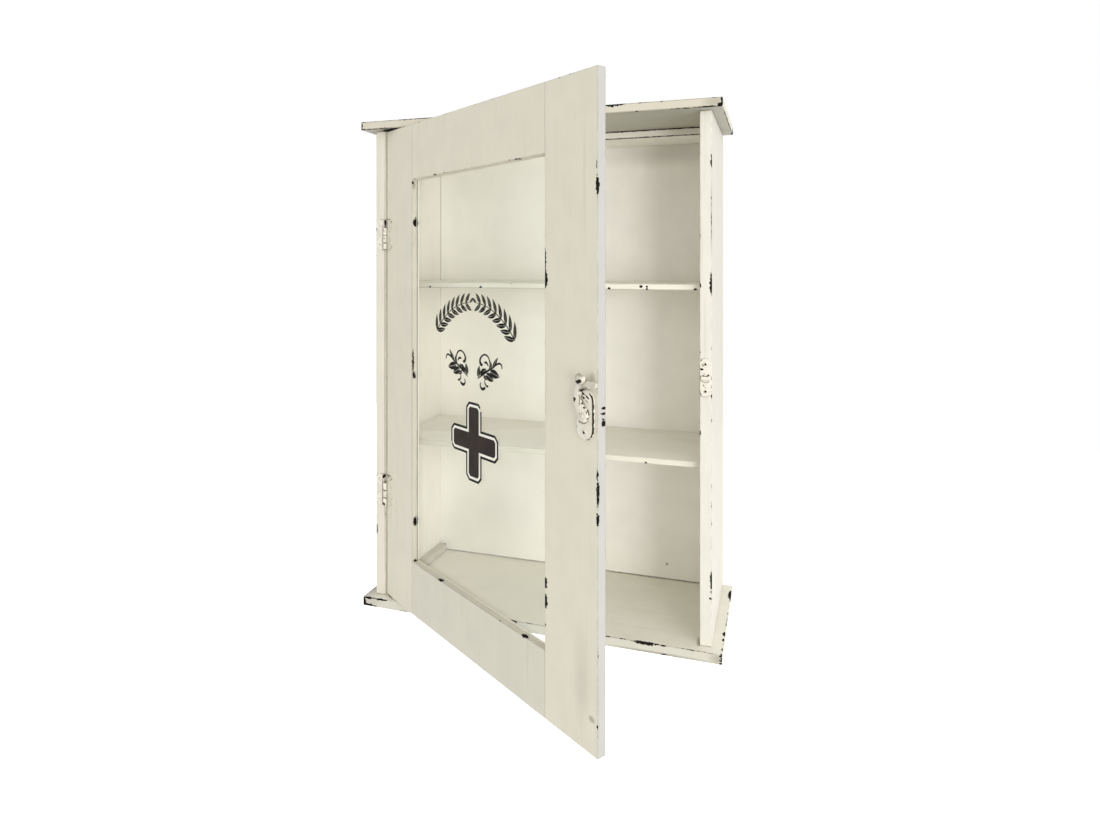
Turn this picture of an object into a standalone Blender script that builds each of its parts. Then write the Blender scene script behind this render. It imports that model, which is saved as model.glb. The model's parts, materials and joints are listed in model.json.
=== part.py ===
# Wall-hung medicine cabinet: glazed door, two shelves, butterfly hinges and a turn latch.
# Metres, +Z up. X runs along the width, +Y points into the wall and the front faces -Y.
# The origin is the middle of the base board's back edge, on the plane of the wall.
import math

import bmesh
import bpy
from mathutils import Matrix, Vector

# Case
TOTAL_HEIGHT = 0.600
CASE_WIDTH = 0.412
CASE_DEPTH = 0.160
SIDE_THICKNESS = 0.013
TOP_THICKNESS = 0.010
BASE_THICKNESS = 0.011
TOP_END_OVERHANG = 0.0125
TOP_FRONT_OVERHANG = 0.0145
BASE_END_OVERHANG = 0.0115
BASE_FRONT_OVERHANG = 0.0115
ARRIS = 0.0008
CLEARANCE = 0.0003
CUT_OVERRUN = 0.002

# Back panel, which slides in grooves in the side panels
BACK_THICKNESS = 0.005
BACK_RECESS = 0.003
BACK_GROOVE_DEPTH = 0.002

# Shelves, which sit in housings in the side panels
SHELF_THICKNESS = 0.0065
SHELF_SETBACK = 0.0115
SHELF_HOUSING_DEPTH = 0.003

# Battens inside the case
RAIL_HEIGHT = 0.0094
RAIL_DEPTH = 0.0607
CLEAT_SIZE = 0.010
CLEAT_BACK_ROOM = 0.003

# Dowels between the boards and the side panels
DOWEL_RADIUS = 0.003
DOWEL_IN_BOARD = 0.006
DOWEL_IN_SIDE = 0.010
DOWEL_INSET = 0.035

# Keyhole plates in the back edges of the side panels
HANGER_WIDTH = 0.0090
HANGER_HEIGHT = 0.034
HANGER_THICKNESS = 0.0015
HANGER_DROP = 0.040
HANGER_INSET = 0.0052
HANGER_SCREW_SPACING = 0.026
KEYHOLE_RADIUS = 0.0032
KEYSLOT_RADIUS = 0.0018
KEYSLOT_TRAVEL = 0.007
KEYHOLE_POCKET_DEPTH = 0.006

# Door frame
DOOR_THICKNESS = 0.009
DOOR_ARRIS = 0.0003
DOOR_END_GAP = 0.0015
HINGE_SIDE_GAP = 0.002
LATCH_SIDE_GAP = 0.001
HINGE_STILE_WIDTH = 0.064
LATCH_STILE_WIDTH = 0.070
TOP_RAIL_HEIGHT = 0.065
BOTTOM_RAIL_HEIGHT = 0.0615
TENON_LENGTH = 0.012
TENON_THICKNESS = 0.003
TENON_FACE_DEPTH = 0.0015
TENON_SHOULDER = 0.010
DOOR_OPEN_DEGREES = 32.9

# Glass and its beads
REVEAL_DEPTH = 0.0053
REBATE_WIDTH = 0.006
GLASS_THICKNESS = 0.0018
GLASS_EDGE_ROOM = 0.001
BEAD_WIDTH = 0.0055

# Hinges
HINGE_HEIGHT = 0.039
HINGE_SPACING = 0.317
HINGE_RISE = 0.0015
CASE_LEAF_REACH = 0.0135
DOOR_LEAF_REACH = 0.0155
HINGE_LEAF_WAIST = 0.0070
HINGE_LEAF_THICKNESS = 0.001
HINGE_LOBE_OFFSET = 0.012
LEAF_CORNER = 0.0035
LEAF_END_SHARE = 0.45
LEAF_OUTLINE_STEPS = 28
WEB_INSET = 0.0002
WEB_OVERLAP = 0.0010
WEB_SKIN = 0.0001
BARREL_RADIUS = 0.0025
BARREL_BORE_RADIUS = 0.0013
BARREL_DROP = 0.0053
PIN_RADIUS = 0.001
PIN_HEAD_RADIUS = 0.0019
PIN_HEAD_HEIGHT = 0.0016
KNUCKLE_LENGTH = 0.0093
KNUCKLE_COUNT = 3

# Turn latch and its keeper
LATCH_PLATE_WIDTH = 0.0205
LATCH_PLATE_HEIGHT = 0.043
LATCH_PLATE_THICKNESS = 0.0022
LATCH_PLATE_SHIFT = 0.001
LATCH_HUB_INSET = 0.0128
LATCH_DROP = 0.0041
LATCH_BOSS_RADIUS = 0.0060
LATCH_BOSS_HEIGHT = 0.0008
LATCH_SCREW_OFFSET = 0.0146
METAL_ARRIS = 0.0006
LEVER_THICKNESS = 0.0026
LEVER_TURN_DEGREES = 46.0
RIVET_RADIUS = 0.0015
RIVET_HEAD_RADIUS = 0.0027
RIVET_HEAD_HEIGHT = 0.0013
RIVET_LENGTH_IN_DOOR = 0.004
KNOB_HALF_WIDTH = 0.0054
KNOB_HALF_HEIGHT = 0.0050
KNOB_HALF_DEPTH = 0.0036
KNOB_SUNK = 0.0014
KEEPER_HEIGHT = 0.042
KEEPER_THICKNESS = 0.002
KEEPER_ARRIS = 0.0005
KEEPER_SCREW_OFFSET = 0.0147
KEEPER_RISE = 0.0048
LIP_THICKNESS = 0.002
LIP_FRONT_ROOM = 0.0006
LIP_COVER = 0.0024
LIP_FOOT_ROOM = 0.0008
LIP_FOOT_THICKNESS = 0.0025
LIP_LEFT_INSET = 0.0015
LIP_RIGHT_INSET = 0.0005
LIP_ROOT = 0.0005
LIP_ARRIS = 0.0008

# Screws
HINGE_SCREW = {"head": 0.0021, "rise": 0.0008, "shank": 0.0010, "length": 0.0075}
LATCH_SCREW = {"head": 0.0024, "rise": 0.0009, "shank": 0.0011, "length": 0.0070}
KEEPER_SCREW = {"head": 0.0021, "rise": 0.0008, "shank": 0.0010, "length": 0.0090}
HANGER_SCREW = {"head": 0.0017, "rise": 0.0, "shank": 0.0010, "length": 0.0100}

# Roundness
FINE_SEGMENTS = 32
ROUND_SEGMENTS = 20
SCREW_SEGMENTS = 12
ARC_STEPS = 12
LEVER_STEPS = 5
KNOB_RINGS = 10

# Levels of the case, from the origin
base_bottom = -BASE_THICKNESS / 2
floor_z = BASE_THICKNESS / 2
top_z = base_bottom + TOTAL_HEIGHT
ceiling_z = top_z - TOP_THICKNESS
middle_z = (floor_z + ceiling_z) / 2
outer_x = CASE_WIDTH / 2
inner_x = outer_x - SIDE_THICKNESS
front_y = -CASE_DEPTH
back_rear_y = -BACK_RECESS
back_face_y = back_rear_y - BACK_THICKNESS
shelf_front_y = front_y + SHELF_SETBACK
shelf_pitch = (ceiling_z - floor_z + SHELF_THICKNESS) / 3
lower_shelf_z = floor_z + shelf_pitch - SHELF_THICKNESS
upper_shelf_z = lower_shelf_z + shelf_pitch

# The hinge pins stand proud of the faces, so that the barrel clears both edges of the gap
pin_standoff = math.sqrt((BARREL_RADIUS + CLEARANCE) ** 2 - (HINGE_SIDE_GAP / 2) ** 2)
pin_x = -inner_x + HINGE_SIDE_GAP / 2
pin_y = front_y - pin_standoff

# The door, in its own frame: origin on the pins, +X along the closed door, +Y into the case
door_front = pin_standoff
door_rear = door_front + DOOR_THICKNESS
door_left = HINGE_SIDE_GAP / 2
door_right = 2 * inner_x - HINGE_SIDE_GAP / 2 - LATCH_SIDE_GAP
door_bottom = floor_z + DOOR_END_GAP
door_top = ceiling_z - DOOR_END_GAP
opening_left = door_left + HINGE_STILE_WIDTH
opening_right = door_right - LATCH_STILE_WIDTH
opening_bottom = door_bottom + BOTTOM_RAIL_HEIGHT
opening_top = door_top - TOP_RAIL_HEIGHT
rebate_y = door_front + REVEAL_DEPTH

# The latch, in its own frame: origin on the rivet, on the door's face, -Y out of the door
latch_x = door_right - LATCH_HUB_INSET
latch_z = middle_z - LATCH_DROP
plate_face = -CLEARANCE - LATCH_PLATE_THICKNESS
boss_face = plate_face - LATCH_BOSS_HEIGHT
lever_back = boss_face - CLEARANCE
lever_face = lever_back - LEVER_THICKNESS

# The lever's centre line from hub to tongue with its half width, and the middle of its knob
LEVER_PATH = [
    (0.0000, 0.0000, 0.0058),
    (-0.0060, 0.0080, 0.0046),
    (-0.0077, 0.0155, 0.0043),
    (-0.0050, 0.0225, 0.0038),
    (0.0030, 0.0262, 0.0034),
    (0.0136, 0.0264, 0.0031),
]
KNOB_X = 0.0000
KNOB_Z = 0.0311


def clear_scene():
    for old in list(bpy.data.objects):
        bpy.data.objects.remove(old, do_unlink=True)


def finish(name, colour, roughness, metallic=0.0, alpha=1.0):
    """A plain material with its colour, roughness and metallic value."""
    material = bpy.data.materials.new(name)
    material.use_nodes = True
    shader = material.node_tree.nodes["Principled BSDF"]
    shader.inputs["Base Color"].default_value = (*colour, 1.0)
    shader.inputs["Roughness"].default_value = roughness
    shader.inputs["Metallic"].default_value = metallic
    shader.inputs["Alpha"].default_value = alpha
    material.diffuse_color = (*colour, alpha)
    return material


def add_box(bm, low, high):
    """A box between two corners."""
    size = Vector(high) - Vector(low)
    middle = (Vector(high) + Vector(low)) / 2
    matrix = Matrix.Translation(middle) @ Matrix.Diagonal((*size, 1.0))
    bmesh.ops.create_cube(bm, size=1.0, matrix=matrix)


def add_prism(bm, outline, low_y, high_y):
    """An outline of (x, z) points, carried from low_y to high_y."""
    near = [bm.verts.new((x, low_y, z)) for x, z in outline]
    far = [bm.verts.new((x, high_y, z)) for x, z in outline]
    bm.faces.new(near)
    bm.faces.new(list(reversed(far)))
    count = len(outline)
    for index in range(count):
        following = (index + 1) % count
        bm.faces.new((near[following], near[index], far[index], far[following]))


def add_turned(bm, profile, origin, direction, segments):
    """A profile of (radius, height) points from pole to pole, turned about a line."""
    turn = Vector((0, 0, 1)).rotation_difference(Vector(direction)).to_matrix().to_4x4()
    place = Matrix.Translation(Vector(origin)) @ turn
    rings = []
    for radius, height in profile:
        if radius == 0.0:
            rings.append([bm.verts.new(place @ Vector((0, 0, height)))])
            continue
        ring = []
        for step in range(segments):
            angle = 2 * math.pi * step / segments
            point = Vector((radius * math.cos(angle), radius * math.sin(angle), height))
            ring.append(bm.verts.new(place @ point))
        rings.append(ring)
    for lower, upper in zip(rings, rings[1:]):
        for step in range(segments):
            following = (step + 1) % segments
            if len(lower) == 1:
                bm.faces.new((lower[0], upper[step], upper[following]))
            elif len(upper) == 1:
                bm.faces.new((lower[step], upper[0], lower[following]))
            else:
                bm.faces.new((lower[step], upper[step], upper[following], lower[following]))


def add_rod(bm, origin, direction, radius, length, segments):
    """A plain round rod with flat ends, from origin along direction."""
    add_turned(bm, [(0.0, 0.0), (radius, 0.0), (radius, length), (0.0, length)],
               origin, direction, segments)


def add_tube(bm, low_z, high_z, radius, bore, segments):
    """A tube about the Z axis."""
    loops = []
    for ring_radius, height in ((radius, low_z), (radius, high_z), (bore, high_z), (bore, low_z)):
        ring = []
        for step in range(segments):
            angle = 2 * math.pi * step / segments
            ring.append(bm.verts.new((ring_radius * math.cos(angle),
                                      ring_radius * math.sin(angle), height)))
        loops.append(ring)
    for index in range(4):
        first, second = loops[index], loops[(index + 1) % 4]
        for step in range(segments):
            following = (step + 1) % segments
            bm.faces.new((first[step], first[following], second[following], second[step]))


def arc(centre_x, centre_z, radius, start, end, steps):
    """Points of an arc in the XZ plane, its angles in degrees."""
    points = []
    for step in range(steps + 1):
        angle = math.radians(start + (end - start) * step / steps)
        points.append((centre_x + radius * math.cos(angle), centre_z + radius * math.sin(angle)))
    return points


def oblong(width, height, centre_x=0.0, centre_z=0.0):
    """An upright outline with half-round ends."""
    radius = width / 2
    reach = height / 2 - radius
    top = arc(centre_x, centre_z + reach, radius, 0, 180, ARC_STEPS)
    bottom = arc(centre_x, centre_z - reach, radius, 180, 360, ARC_STEPS)
    return top + bottom


def make_object(name, bm, material, place=(0, 0, 0), parent=None, round_shape=False):
    """Turn a bmesh, given in its frame's coordinates, into an object whose origin is at place."""
    bmesh.ops.translate(bm, verts=bm.verts, vec=-Vector(place))
    bmesh.ops.recalc_face_normals(bm, faces=bm.faces)
    mesh = bpy.data.meshes.new(name)
    bm.to_mesh(mesh)
    bm.free()
    if round_shape:
        mesh.shade_smooth()
        mesh.set_sharp_from_angle(angle=math.radians(40))
    if material:
        mesh.materials.append(material)
    made = bpy.data.objects.new(name, mesh)
    bpy.context.scene.collection.objects.link(made)
    made.parent = parent
    made.location = place
    return made


def make_copies(bm, material, copies, parent=None):
    """Objects that share one round mesh, which is modelled at its own origin."""
    mesh = None
    for name, place in copies:
        if mesh is None:
            first = make_object(name, bm, material, (0, 0, 0), parent, round_shape=True)
            first.location = place
            mesh = first.data
        else:
            made = bpy.data.objects.new(name, mesh)
            bpy.context.scene.collection.objects.link(made)
            made.parent = parent
            made.location = place


def make_axis(name, place, parent=None, turn=0.0):
    """An empty on a joint's axis."""
    axis = bpy.data.objects.new(name, None)
    bpy.context.scene.collection.objects.link(axis)
    axis.parent = parent
    axis.location = place
    axis.rotation_euler = (0.0, 0.0, turn)
    return axis


def soften(target, width, segments=2):
    """Round the sharp edges."""
    bevel = target.modifiers.new("soft edges", "BEVEL")
    bevel.width = width
    bevel.segments = segments
    bevel.limit_method = "ANGLE"
    bevel.angle_limit = math.radians(50)


def combine(target, bm, label, operation):
    """Cut the bmesh out of the target, or join it on. It is in the target's frame."""
    tool = make_object(target.name + "_" + label, bm, None, (0, 0, 0), target.parent)
    tool.hide_render = True
    tool.display_type = "WIRE"
    boolean = target.modifiers.new(label, "BOOLEAN")
    boolean.operation = operation
    boolean.solver = "EXACT"
    boolean.object = tool


def cut(target, bm, label):
    combine(target, bm, label, "DIFFERENCE")


def join(target, bm, label):
    combine(target, bm, label, "UNION")


def board(name, low, high, material, parent=None, arris=ARRIS):
    """A board with softened arrises, its origin at its middle."""
    bm = bmesh.new()
    add_box(bm, low, high)
    middle = (Vector(low) + Vector(high)) / 2
    made = make_object(name, bm, material, middle, parent)
    soften(made, arris)
    return made


def screw_profile(screw):
    """A raised countersunk screw from its point to the top of its head; height 0 is the surface."""
    head = screw["head"]
    shank = screw["shank"]
    neck = -(head - shank)
    length = screw["length"]
    rim = screw["rise"] / 3
    profile = [(0.0, -length), (shank / 2, -length + shank), (shank, -length + 2.5 * shank),
               (shank, neck), (head, 0.0)]
    if screw["rise"] > 0.0:
        profile += [(head, rim), (head * 0.7, screw["rise"] * 0.8), (0.0, screw["rise"])]
    else:
        profile += [(0.0, 0.0)]
    return profile


def screw_hole_profile(screw):
    """The hole that a screw sits in, with its clearance, open at the surface."""
    head = screw["head"] + CLEARANCE
    shank = screw["shank"] + CLEARANCE
    neck = -(head - shank)
    return [(0.0, -screw["length"] - CLEARANCE), (shank, -screw["length"] - CLEARANCE),
            (shank, neck), (head, 0.0), (head, CUT_OVERRUN), (0.0, CUT_OVERRUN)]


def screws(screw, material, named_places, direction, parent=None):
    """One screw for each name and place, its head towards direction."""
    bm = bmesh.new()
    add_turned(bm, screw_profile(screw), (0, 0, 0), direction, SCREW_SEGMENTS)
    make_copies(bm, material, named_places, parent)


def screw_holes(screw, places, direction):
    bm = bmesh.new()
    for place in places:
        add_turned(bm, screw_hole_profile(screw), place, direction, SCREW_SEGMENTS)
    return bm


def upper_and_lower(name, places):
    """Names for a pair of places, the lower one first."""
    return [("lower_" + name, places[0]), ("upper_" + name, places[1])]


def clearance_holes(screw, places, direction):
    """Plain holes for the shanks of screws, from the surface down."""
    bm = bmesh.new()
    for x, y, z in places:
        outward = Vector(direction)
        start = Vector((x, y, z)) + outward * CUT_OVERRUN
        add_rod(bm, start, -outward, screw["shank"] + CLEARANCE,
                screw["length"] + CUT_OVERRUN + CLEARANCE, SCREW_SEGMENTS)
    return bm


def dowel_places():
    """The X and Y of every dowel: two in each side panel."""
    side_middle = outer_x - SIDE_THICKNESS / 2
    return [(x, y) for x in (-side_middle, side_middle)
            for y in (-DOWEL_INSET, front_y + DOWEL_INSET)]


def dowel_holes(places, joint_z, up, depth):
    """Blind holes from a joint's plane, up or down."""
    bm = bmesh.new()
    for x, y in places:
        start = (x, y, joint_z - up * CUT_OVERRUN)
        add_rod(bm, start, (0, 0, up), DOWEL_RADIUS + CLEARANCE, depth + CUT_OVERRUN + CLEARANCE,
                ROUND_SEGMENTS)
    return bm


def dowels(label, joint_z, board_side, material):
    """Dowels across a joint. board_side is +1 where the board is above the side panels."""
    bm = bmesh.new()
    length = DOWEL_IN_BOARD + DOWEL_IN_SIDE
    add_rod(bm, (0, 0, -board_side * DOWEL_IN_SIDE), (0, 0, board_side), DOWEL_RADIUS, length,
            ROUND_SEGMENTS)
    copies = []
    for x, y in dowel_places():
        side = "left" if x < 0 else "right"
        end = "front" if y < front_y / 2 else "rear"
        copies.append((f"{label}_{side}_{end}_dowel", (x, y, joint_z)))
    make_copies(bm, material, copies)


def end_board(name, low_z, high_z, end_overhang, front_overhang, joint_z, up, material):
    """The top or base board, with the dowel holes in the face that meets the side panels."""
    half = outer_x + end_overhang
    made = board(name, (-half, front_y - front_overhang, low_z), (half, 0.0, high_z), material)
    cut(made, dowel_holes(dowel_places(), joint_z, up, DOWEL_IN_BOARD), "dowel_holes")
    return made


def hanger_centre(side):
    """The middle of a keyhole plate's outer face. side is -1 for the left panel, +1 for the right."""
    return side * (outer_x - HANGER_INSET), ceiling_z - HANGER_DROP


def hanger_screw_places(side):
    x, z = hanger_centre(side)
    return [(x, -CLEARANCE, z + sign * HANGER_SCREW_SPACING / 2) for sign in (-1, 1)]


def keyhole_outline(x, z):
    """A keyhole: a round mouth with a narrower slot above it, rounded at the top."""
    low_z = z - KEYSLOT_TRAVEL / 2
    high_z = z + KEYSLOT_TRAVEL / 2
    lean = math.degrees(math.acos(KEYSLOT_RADIUS / KEYHOLE_RADIUS))
    mouth = arc(x, low_z, KEYHOLE_RADIUS, 180 - lean, 360 + lean, ROUND_SEGMENTS)
    return mouth + arc(x, high_z, KEYSLOT_RADIUS, 0, 180, ARC_STEPS)


def side_panel(name, side, material):
    """A side panel with its groove, housings, dowel holes and the seat of its keyhole plate."""
    near = side * inner_x
    far = side * outer_x
    low = (min(near, far), front_y, floor_z + CLEARANCE)
    high = (max(near, far), 0.0, ceiling_z - CLEARANCE)
    panel = board(name, low, high, material)

    def inward_box(depth, low_y, high_y, low_z, high_z):
        bm = bmesh.new()
        inside = near - side * CUT_OVERRUN
        bottom = near + side * depth
        add_box(bm, (min(inside, bottom), low_y, low_z), (max(inside, bottom), high_y, high_z))
        return bm

    cut(panel, inward_box(BACK_GROOVE_DEPTH, back_face_y - CLEARANCE, back_rear_y + CLEARANCE,
                          low[2] - CUT_OVERRUN, high[2] + CUT_OVERRUN), "back_groove")
    for label, shelf_z in (("lower_housing", lower_shelf_z), ("upper_housing", upper_shelf_z)):
        cut(panel, inward_box(SHELF_HOUSING_DEPTH, shelf_front_y - CLEARANCE,
                              back_face_y + BACK_THICKNESS / 2, shelf_z - CLEARANCE,
                              shelf_z + SHELF_THICKNESS + CLEARANCE), label)
    own_dowels = [place for place in dowel_places() if place[0] * side > 0]
    cut(panel, dowel_holes(own_dowels, floor_z, 1, DOWEL_IN_SIDE), "base_dowel_holes")
    cut(panel, dowel_holes(own_dowels, ceiling_z, -1, DOWEL_IN_SIDE), "top_dowel_holes")
    x, z = hanger_centre(side)
    seat = bmesh.new()
    add_prism(seat, oblong(HANGER_WIDTH + 2 * CLEARANCE, HANGER_HEIGHT + 2 * CLEARANCE, x, z),
              -HANGER_THICKNESS - 2 * CLEARANCE, CUT_OVERRUN)
    cut(panel, seat, "hanger_seat")
    pocket = bmesh.new()
    half_pocket = KEYHOLE_RADIUS + CLEARANCE
    add_box(pocket, (x - half_pocket, -HANGER_THICKNESS - KEYHOLE_POCKET_DEPTH,
                     z - KEYSLOT_TRAVEL / 2 - half_pocket),
            (x + half_pocket, -HANGER_THICKNESS, z + KEYSLOT_TRAVEL / 2 + half_pocket))
    cut(panel, pocket, "keyhole_pocket")
    cut(panel, clearance_holes(HANGER_SCREW, hanger_screw_places(side), (0, 1, 0)), "hanger_holes")
    return panel


def hanger_plate(name, side, material):
    x, z = hanger_centre(side)
    bm = bmesh.new()
    add_prism(bm, oblong(HANGER_WIDTH, HANGER_HEIGHT, x, z), -HANGER_THICKNESS - CLEARANCE,
              -CLEARANCE)
    plate = make_object(name, bm, material, (x, 0.0, z))
    keyhole = bmesh.new()
    add_prism(keyhole, keyhole_outline(x, z), -HANGER_THICKNESS - CUT_OVERRUN, CUT_OVERRUN)
    cut(plate, keyhole, "keyhole")
    cut(plate, screw_holes(HANGER_SCREW, hanger_screw_places(side), (0, 1, 0)), "screw_holes")
    return plate


def shelf(name, low_z, material):
    reach = inner_x + SHELF_HOUSING_DEPTH - CLEARANCE
    return board(name, (-reach, shelf_front_y, low_z),
                 (reach, back_face_y - CLEARANCE, low_z + SHELF_THICKNESS), material)


def cleat(name, material):
    """A square batten in the corner of the floor and the left side panel."""
    near = -inner_x + CLEARANCE
    low = floor_z + CLEARANCE
    return board(name, (near, shelf_front_y, low),
                 (near + CLEAT_SIZE, back_face_y - CLEAT_BACK_ROOM, low + CLEAT_SIZE), material)


def case(wood, steel):
    """Every piece of the fixed case except its share of the hinges and the latch."""
    end_board("top_board", ceiling_z, top_z, TOP_END_OVERHANG, TOP_FRONT_OVERHANG,
              ceiling_z, 1, wood)
    end_board("base_board", base_bottom, floor_z, BASE_END_OVERHANG, BASE_FRONT_OVERHANG,
              floor_z, -1, wood)
    left = side_panel("left_side_panel", -1, wood)
    right = side_panel("right_side_panel", 1, wood)
    back_reach = inner_x + BACK_GROOVE_DEPTH - CLEARANCE
    board("back_panel", (-back_reach, back_face_y, floor_z + CLEARANCE),
          (back_reach, back_rear_y, ceiling_z - CLEARANCE), wood)
    shelf("lower_shelf", lower_shelf_z, wood)
    shelf("upper_shelf", upper_shelf_z, wood)
    rail_reach = inner_x - CLEARANCE
    rail_top = ceiling_z - CLEARANCE
    rail_rear = back_face_y - CLEARANCE
    board("hanging_rail", (-rail_reach, rail_rear - RAIL_DEPTH, rail_top - RAIL_HEIGHT),
          (rail_reach, rail_rear, rail_top), wood)
    cleat("left_base_cleat", wood)
    dowels("top", ceiling_z, 1, wood)
    dowels("base", floor_z, -1, wood)
    hanger_plate("left_hanger_plate", -1, steel)
    hanger_plate("right_hanger_plate", 1, steel)
    named = []
    for label, side in (("left", -1), ("right", 1)):
        named += upper_and_lower(label + "_hanger_screw", hanger_screw_places(side))
    screws(HANGER_SCREW, steel, named, (0, 1, 0))
    return left, right


def rebate_cutter():
    """The rebate behind the glass opening, the same for all four members."""
    bm = bmesh.new()
    add_box(bm, (opening_left - REBATE_WIDTH, rebate_y, opening_bottom - REBATE_WIDTH),
            (opening_right + REBATE_WIDTH, door_rear + CUT_OVERRUN, opening_top + REBATE_WIDTH))
    return bm


def tenon_levels(rail_low, rail_high):
    return rail_low + TENON_SHOULDER, rail_high - TENON_SHOULDER


def stile(name, low_x, high_x, inner_edge, material, door_axis):
    """An upright of the door. inner_edge is the X of its edge towards the glass."""
    made = board(name, (low_x, door_front, door_bottom), (high_x, door_rear, door_top),
                 material, door_axis, DOOR_ARRIS)
    cut(made, rebate_cutter(), "glass_rebate")
    into = 1 if inner_edge == low_x else -1
    mouth = inner_edge - into * CUT_OVERRUN
    bottom = inner_edge + into * (TENON_LENGTH + CLEARANCE)
    tenon_y = door_front + TENON_FACE_DEPTH
    mortises = bmesh.new()
    for rail_low, rail_high in ((door_bottom, opening_bottom), (opening_top, door_top)):
        low_z, high_z = tenon_levels(rail_low, rail_high)
        add_box(mortises, (min(mouth, bottom), tenon_y - CLEARANCE, low_z - CLEARANCE),
                (max(mouth, bottom), tenon_y + TENON_THICKNESS + CLEARANCE, high_z + CLEARANCE))
    cut(made, mortises, "mortises")
    return made


def door_rail(name, low_z, high_z, material, door_axis):
    """A cross member between the stiles, with a tenon at each end."""
    left = opening_left + CLEARANCE
    right = opening_right - CLEARANCE
    made = board(name, (left, door_front, low_z), (right, door_rear, high_z), material,
                 door_axis, DOOR_ARRIS)
    cut(made, rebate_cutter(), "glass_rebate")
    tenon_y = door_front + TENON_FACE_DEPTH
    tenon_low, tenon_high = tenon_levels(low_z, high_z)
    tenon = bmesh.new()
    add_box(tenon, (opening_left - TENON_LENGTH, tenon_y, tenon_low),
            (opening_right + TENON_LENGTH, tenon_y + TENON_THICKNESS, tenon_high))
    join(made, tenon, "tenons")
    return made


def bead(name, corners, material, door_axis):
    """A flat glazing bead with mitred ends, between the glass and the door's rear face."""
    bm = bmesh.new()
    near = rebate_y + CLEARANCE + GLASS_THICKNESS + CLEARANCE
    add_prism(bm, corners, near, door_rear)
    middle_x = sum(x for x, z in corners) / len(corners)
    middle = sum(z for x, z in corners) / len(corners)
    return make_object(name, bm, material, (middle_x, near, middle), door_axis)


def beads(material, door_axis):
    """Four beads round the glass, which meet at mitres."""
    room = REBATE_WIDTH - CLEARANCE
    left = opening_left - room
    right = opening_right + room
    low = opening_bottom - room
    high = opening_top + room
    width = BEAD_WIDTH
    gap = CLEARANCE
    bead("bottom_bead", [(left + gap, low), (right - gap, low),
                         (right - gap - width, low + width), (left + gap + width, low + width)],
         material, door_axis)
    bead("top_bead", [(left + gap, high), (left + gap + width, high - width),
                      (right - gap - width, high - width), (right - gap, high)],
         material, door_axis)
    bead("left_bead", [(left, low + gap), (left + width, low + gap + width),
                       (left + width, high - gap - width), (left, high - gap)],
         material, door_axis)
    bead("right_bead", [(right, low + gap), (right, high - gap),
                        (right - width, high - gap - width), (right - width, low + gap + width)],
         material, door_axis)


def door_frame(wood, glass, door_axis):
    hinge_stile = stile("door_hinge_stile", door_left, opening_left, opening_left, wood, door_axis)
    latch_stile = stile("door_latch_stile", opening_right, door_right, opening_right, wood,
                        door_axis)
    door_rail("door_top_rail", opening_top, door_top, wood, door_axis)
    door_rail("door_bottom_rail", door_bottom, opening_bottom, wood, door_axis)
    lap = REBATE_WIDTH - GLASS_EDGE_ROOM
    pane = bmesh.new()
    pane_low = Vector((opening_left - lap, rebate_y + CLEARANCE, opening_bottom - lap))
    pane_high = Vector((opening_right + lap, rebate_y + CLEARANCE + GLASS_THICKNESS,
                        opening_top + lap))
    add_box(pane, pane_low, pane_high)
    make_object("door_glass", pane, glass, (pane_low + pane_high) / 2, door_axis)
    beads(wood, door_axis)
    return hinge_stile, latch_stile


def leaf_reach(side):
    """How far a wing's lobes reach from the pin: the case's wing is the shorter."""
    return CASE_LEAF_REACH if side < 0 else DOOR_LEAF_REACH


def leaf_outline(side):
    """A butterfly wing beside the barrel: its outer edge swells at two lobes and dips between."""
    near = BARREL_RADIUS + CLEARANCE
    half = HINGE_HEIGHT / 2
    swell = (leaf_reach(side) - HINGE_LEAF_WAIST) / 2
    mean = (leaf_reach(side) + HINGE_LEAF_WAIST) / 2
    outer = []
    for step in range(LEAF_OUTLINE_STEPS + 1):
        level = -half + HINGE_HEIGHT * step / LEAF_OUTLINE_STEPS
        reach = mean - swell * math.cos(math.pi * level / HINGE_LOBE_OFFSET)
        to_end = min(half - abs(level), LEAF_CORNER) / LEAF_CORNER
        rounding = math.sqrt(max(1 - (1 - to_end) ** 2, 0.0))
        share = LEAF_END_SHARE + (1 - LEAF_END_SHARE) * rounding
        outer.append((near + (reach - near) * share, level))
    points = [(near, half), (near, -half)] + outer
    return [(side * x, z) for x, z in points]


def knuckle_span(hinge_z, index):
    """Lowest and highest Z of a knuckle, counted from the bottom of the barrel."""
    barrel_length = KNUCKLE_COUNT * KNUCKLE_LENGTH
    low = hinge_z - BARREL_DROP - barrel_length / 2 + index * KNUCKLE_LENGTH
    return low + CLEARANCE / 2, low + KNUCKLE_LENGTH - CLEARANCE / 2


def leaf_screw_places(side, hinge_z):
    """Screw seats on the leaf's face, one in each lobe, in the pins' frame."""
    x = side * (BARREL_RADIUS + leaf_reach(side)) / 2
    y = pin_standoff - CLEARANCE - HINGE_LEAF_THICKNESS
    return [(x, y, hinge_z + sign * HINGE_LOBE_OFFSET) for sign in (-1, 1)]


def named_leaf_screws(label, side, hinge_z):
    low, high = leaf_screw_places(side, hinge_z)
    return [(label + "_screw_low", low), (label + "_screw_high", high)]


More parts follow.
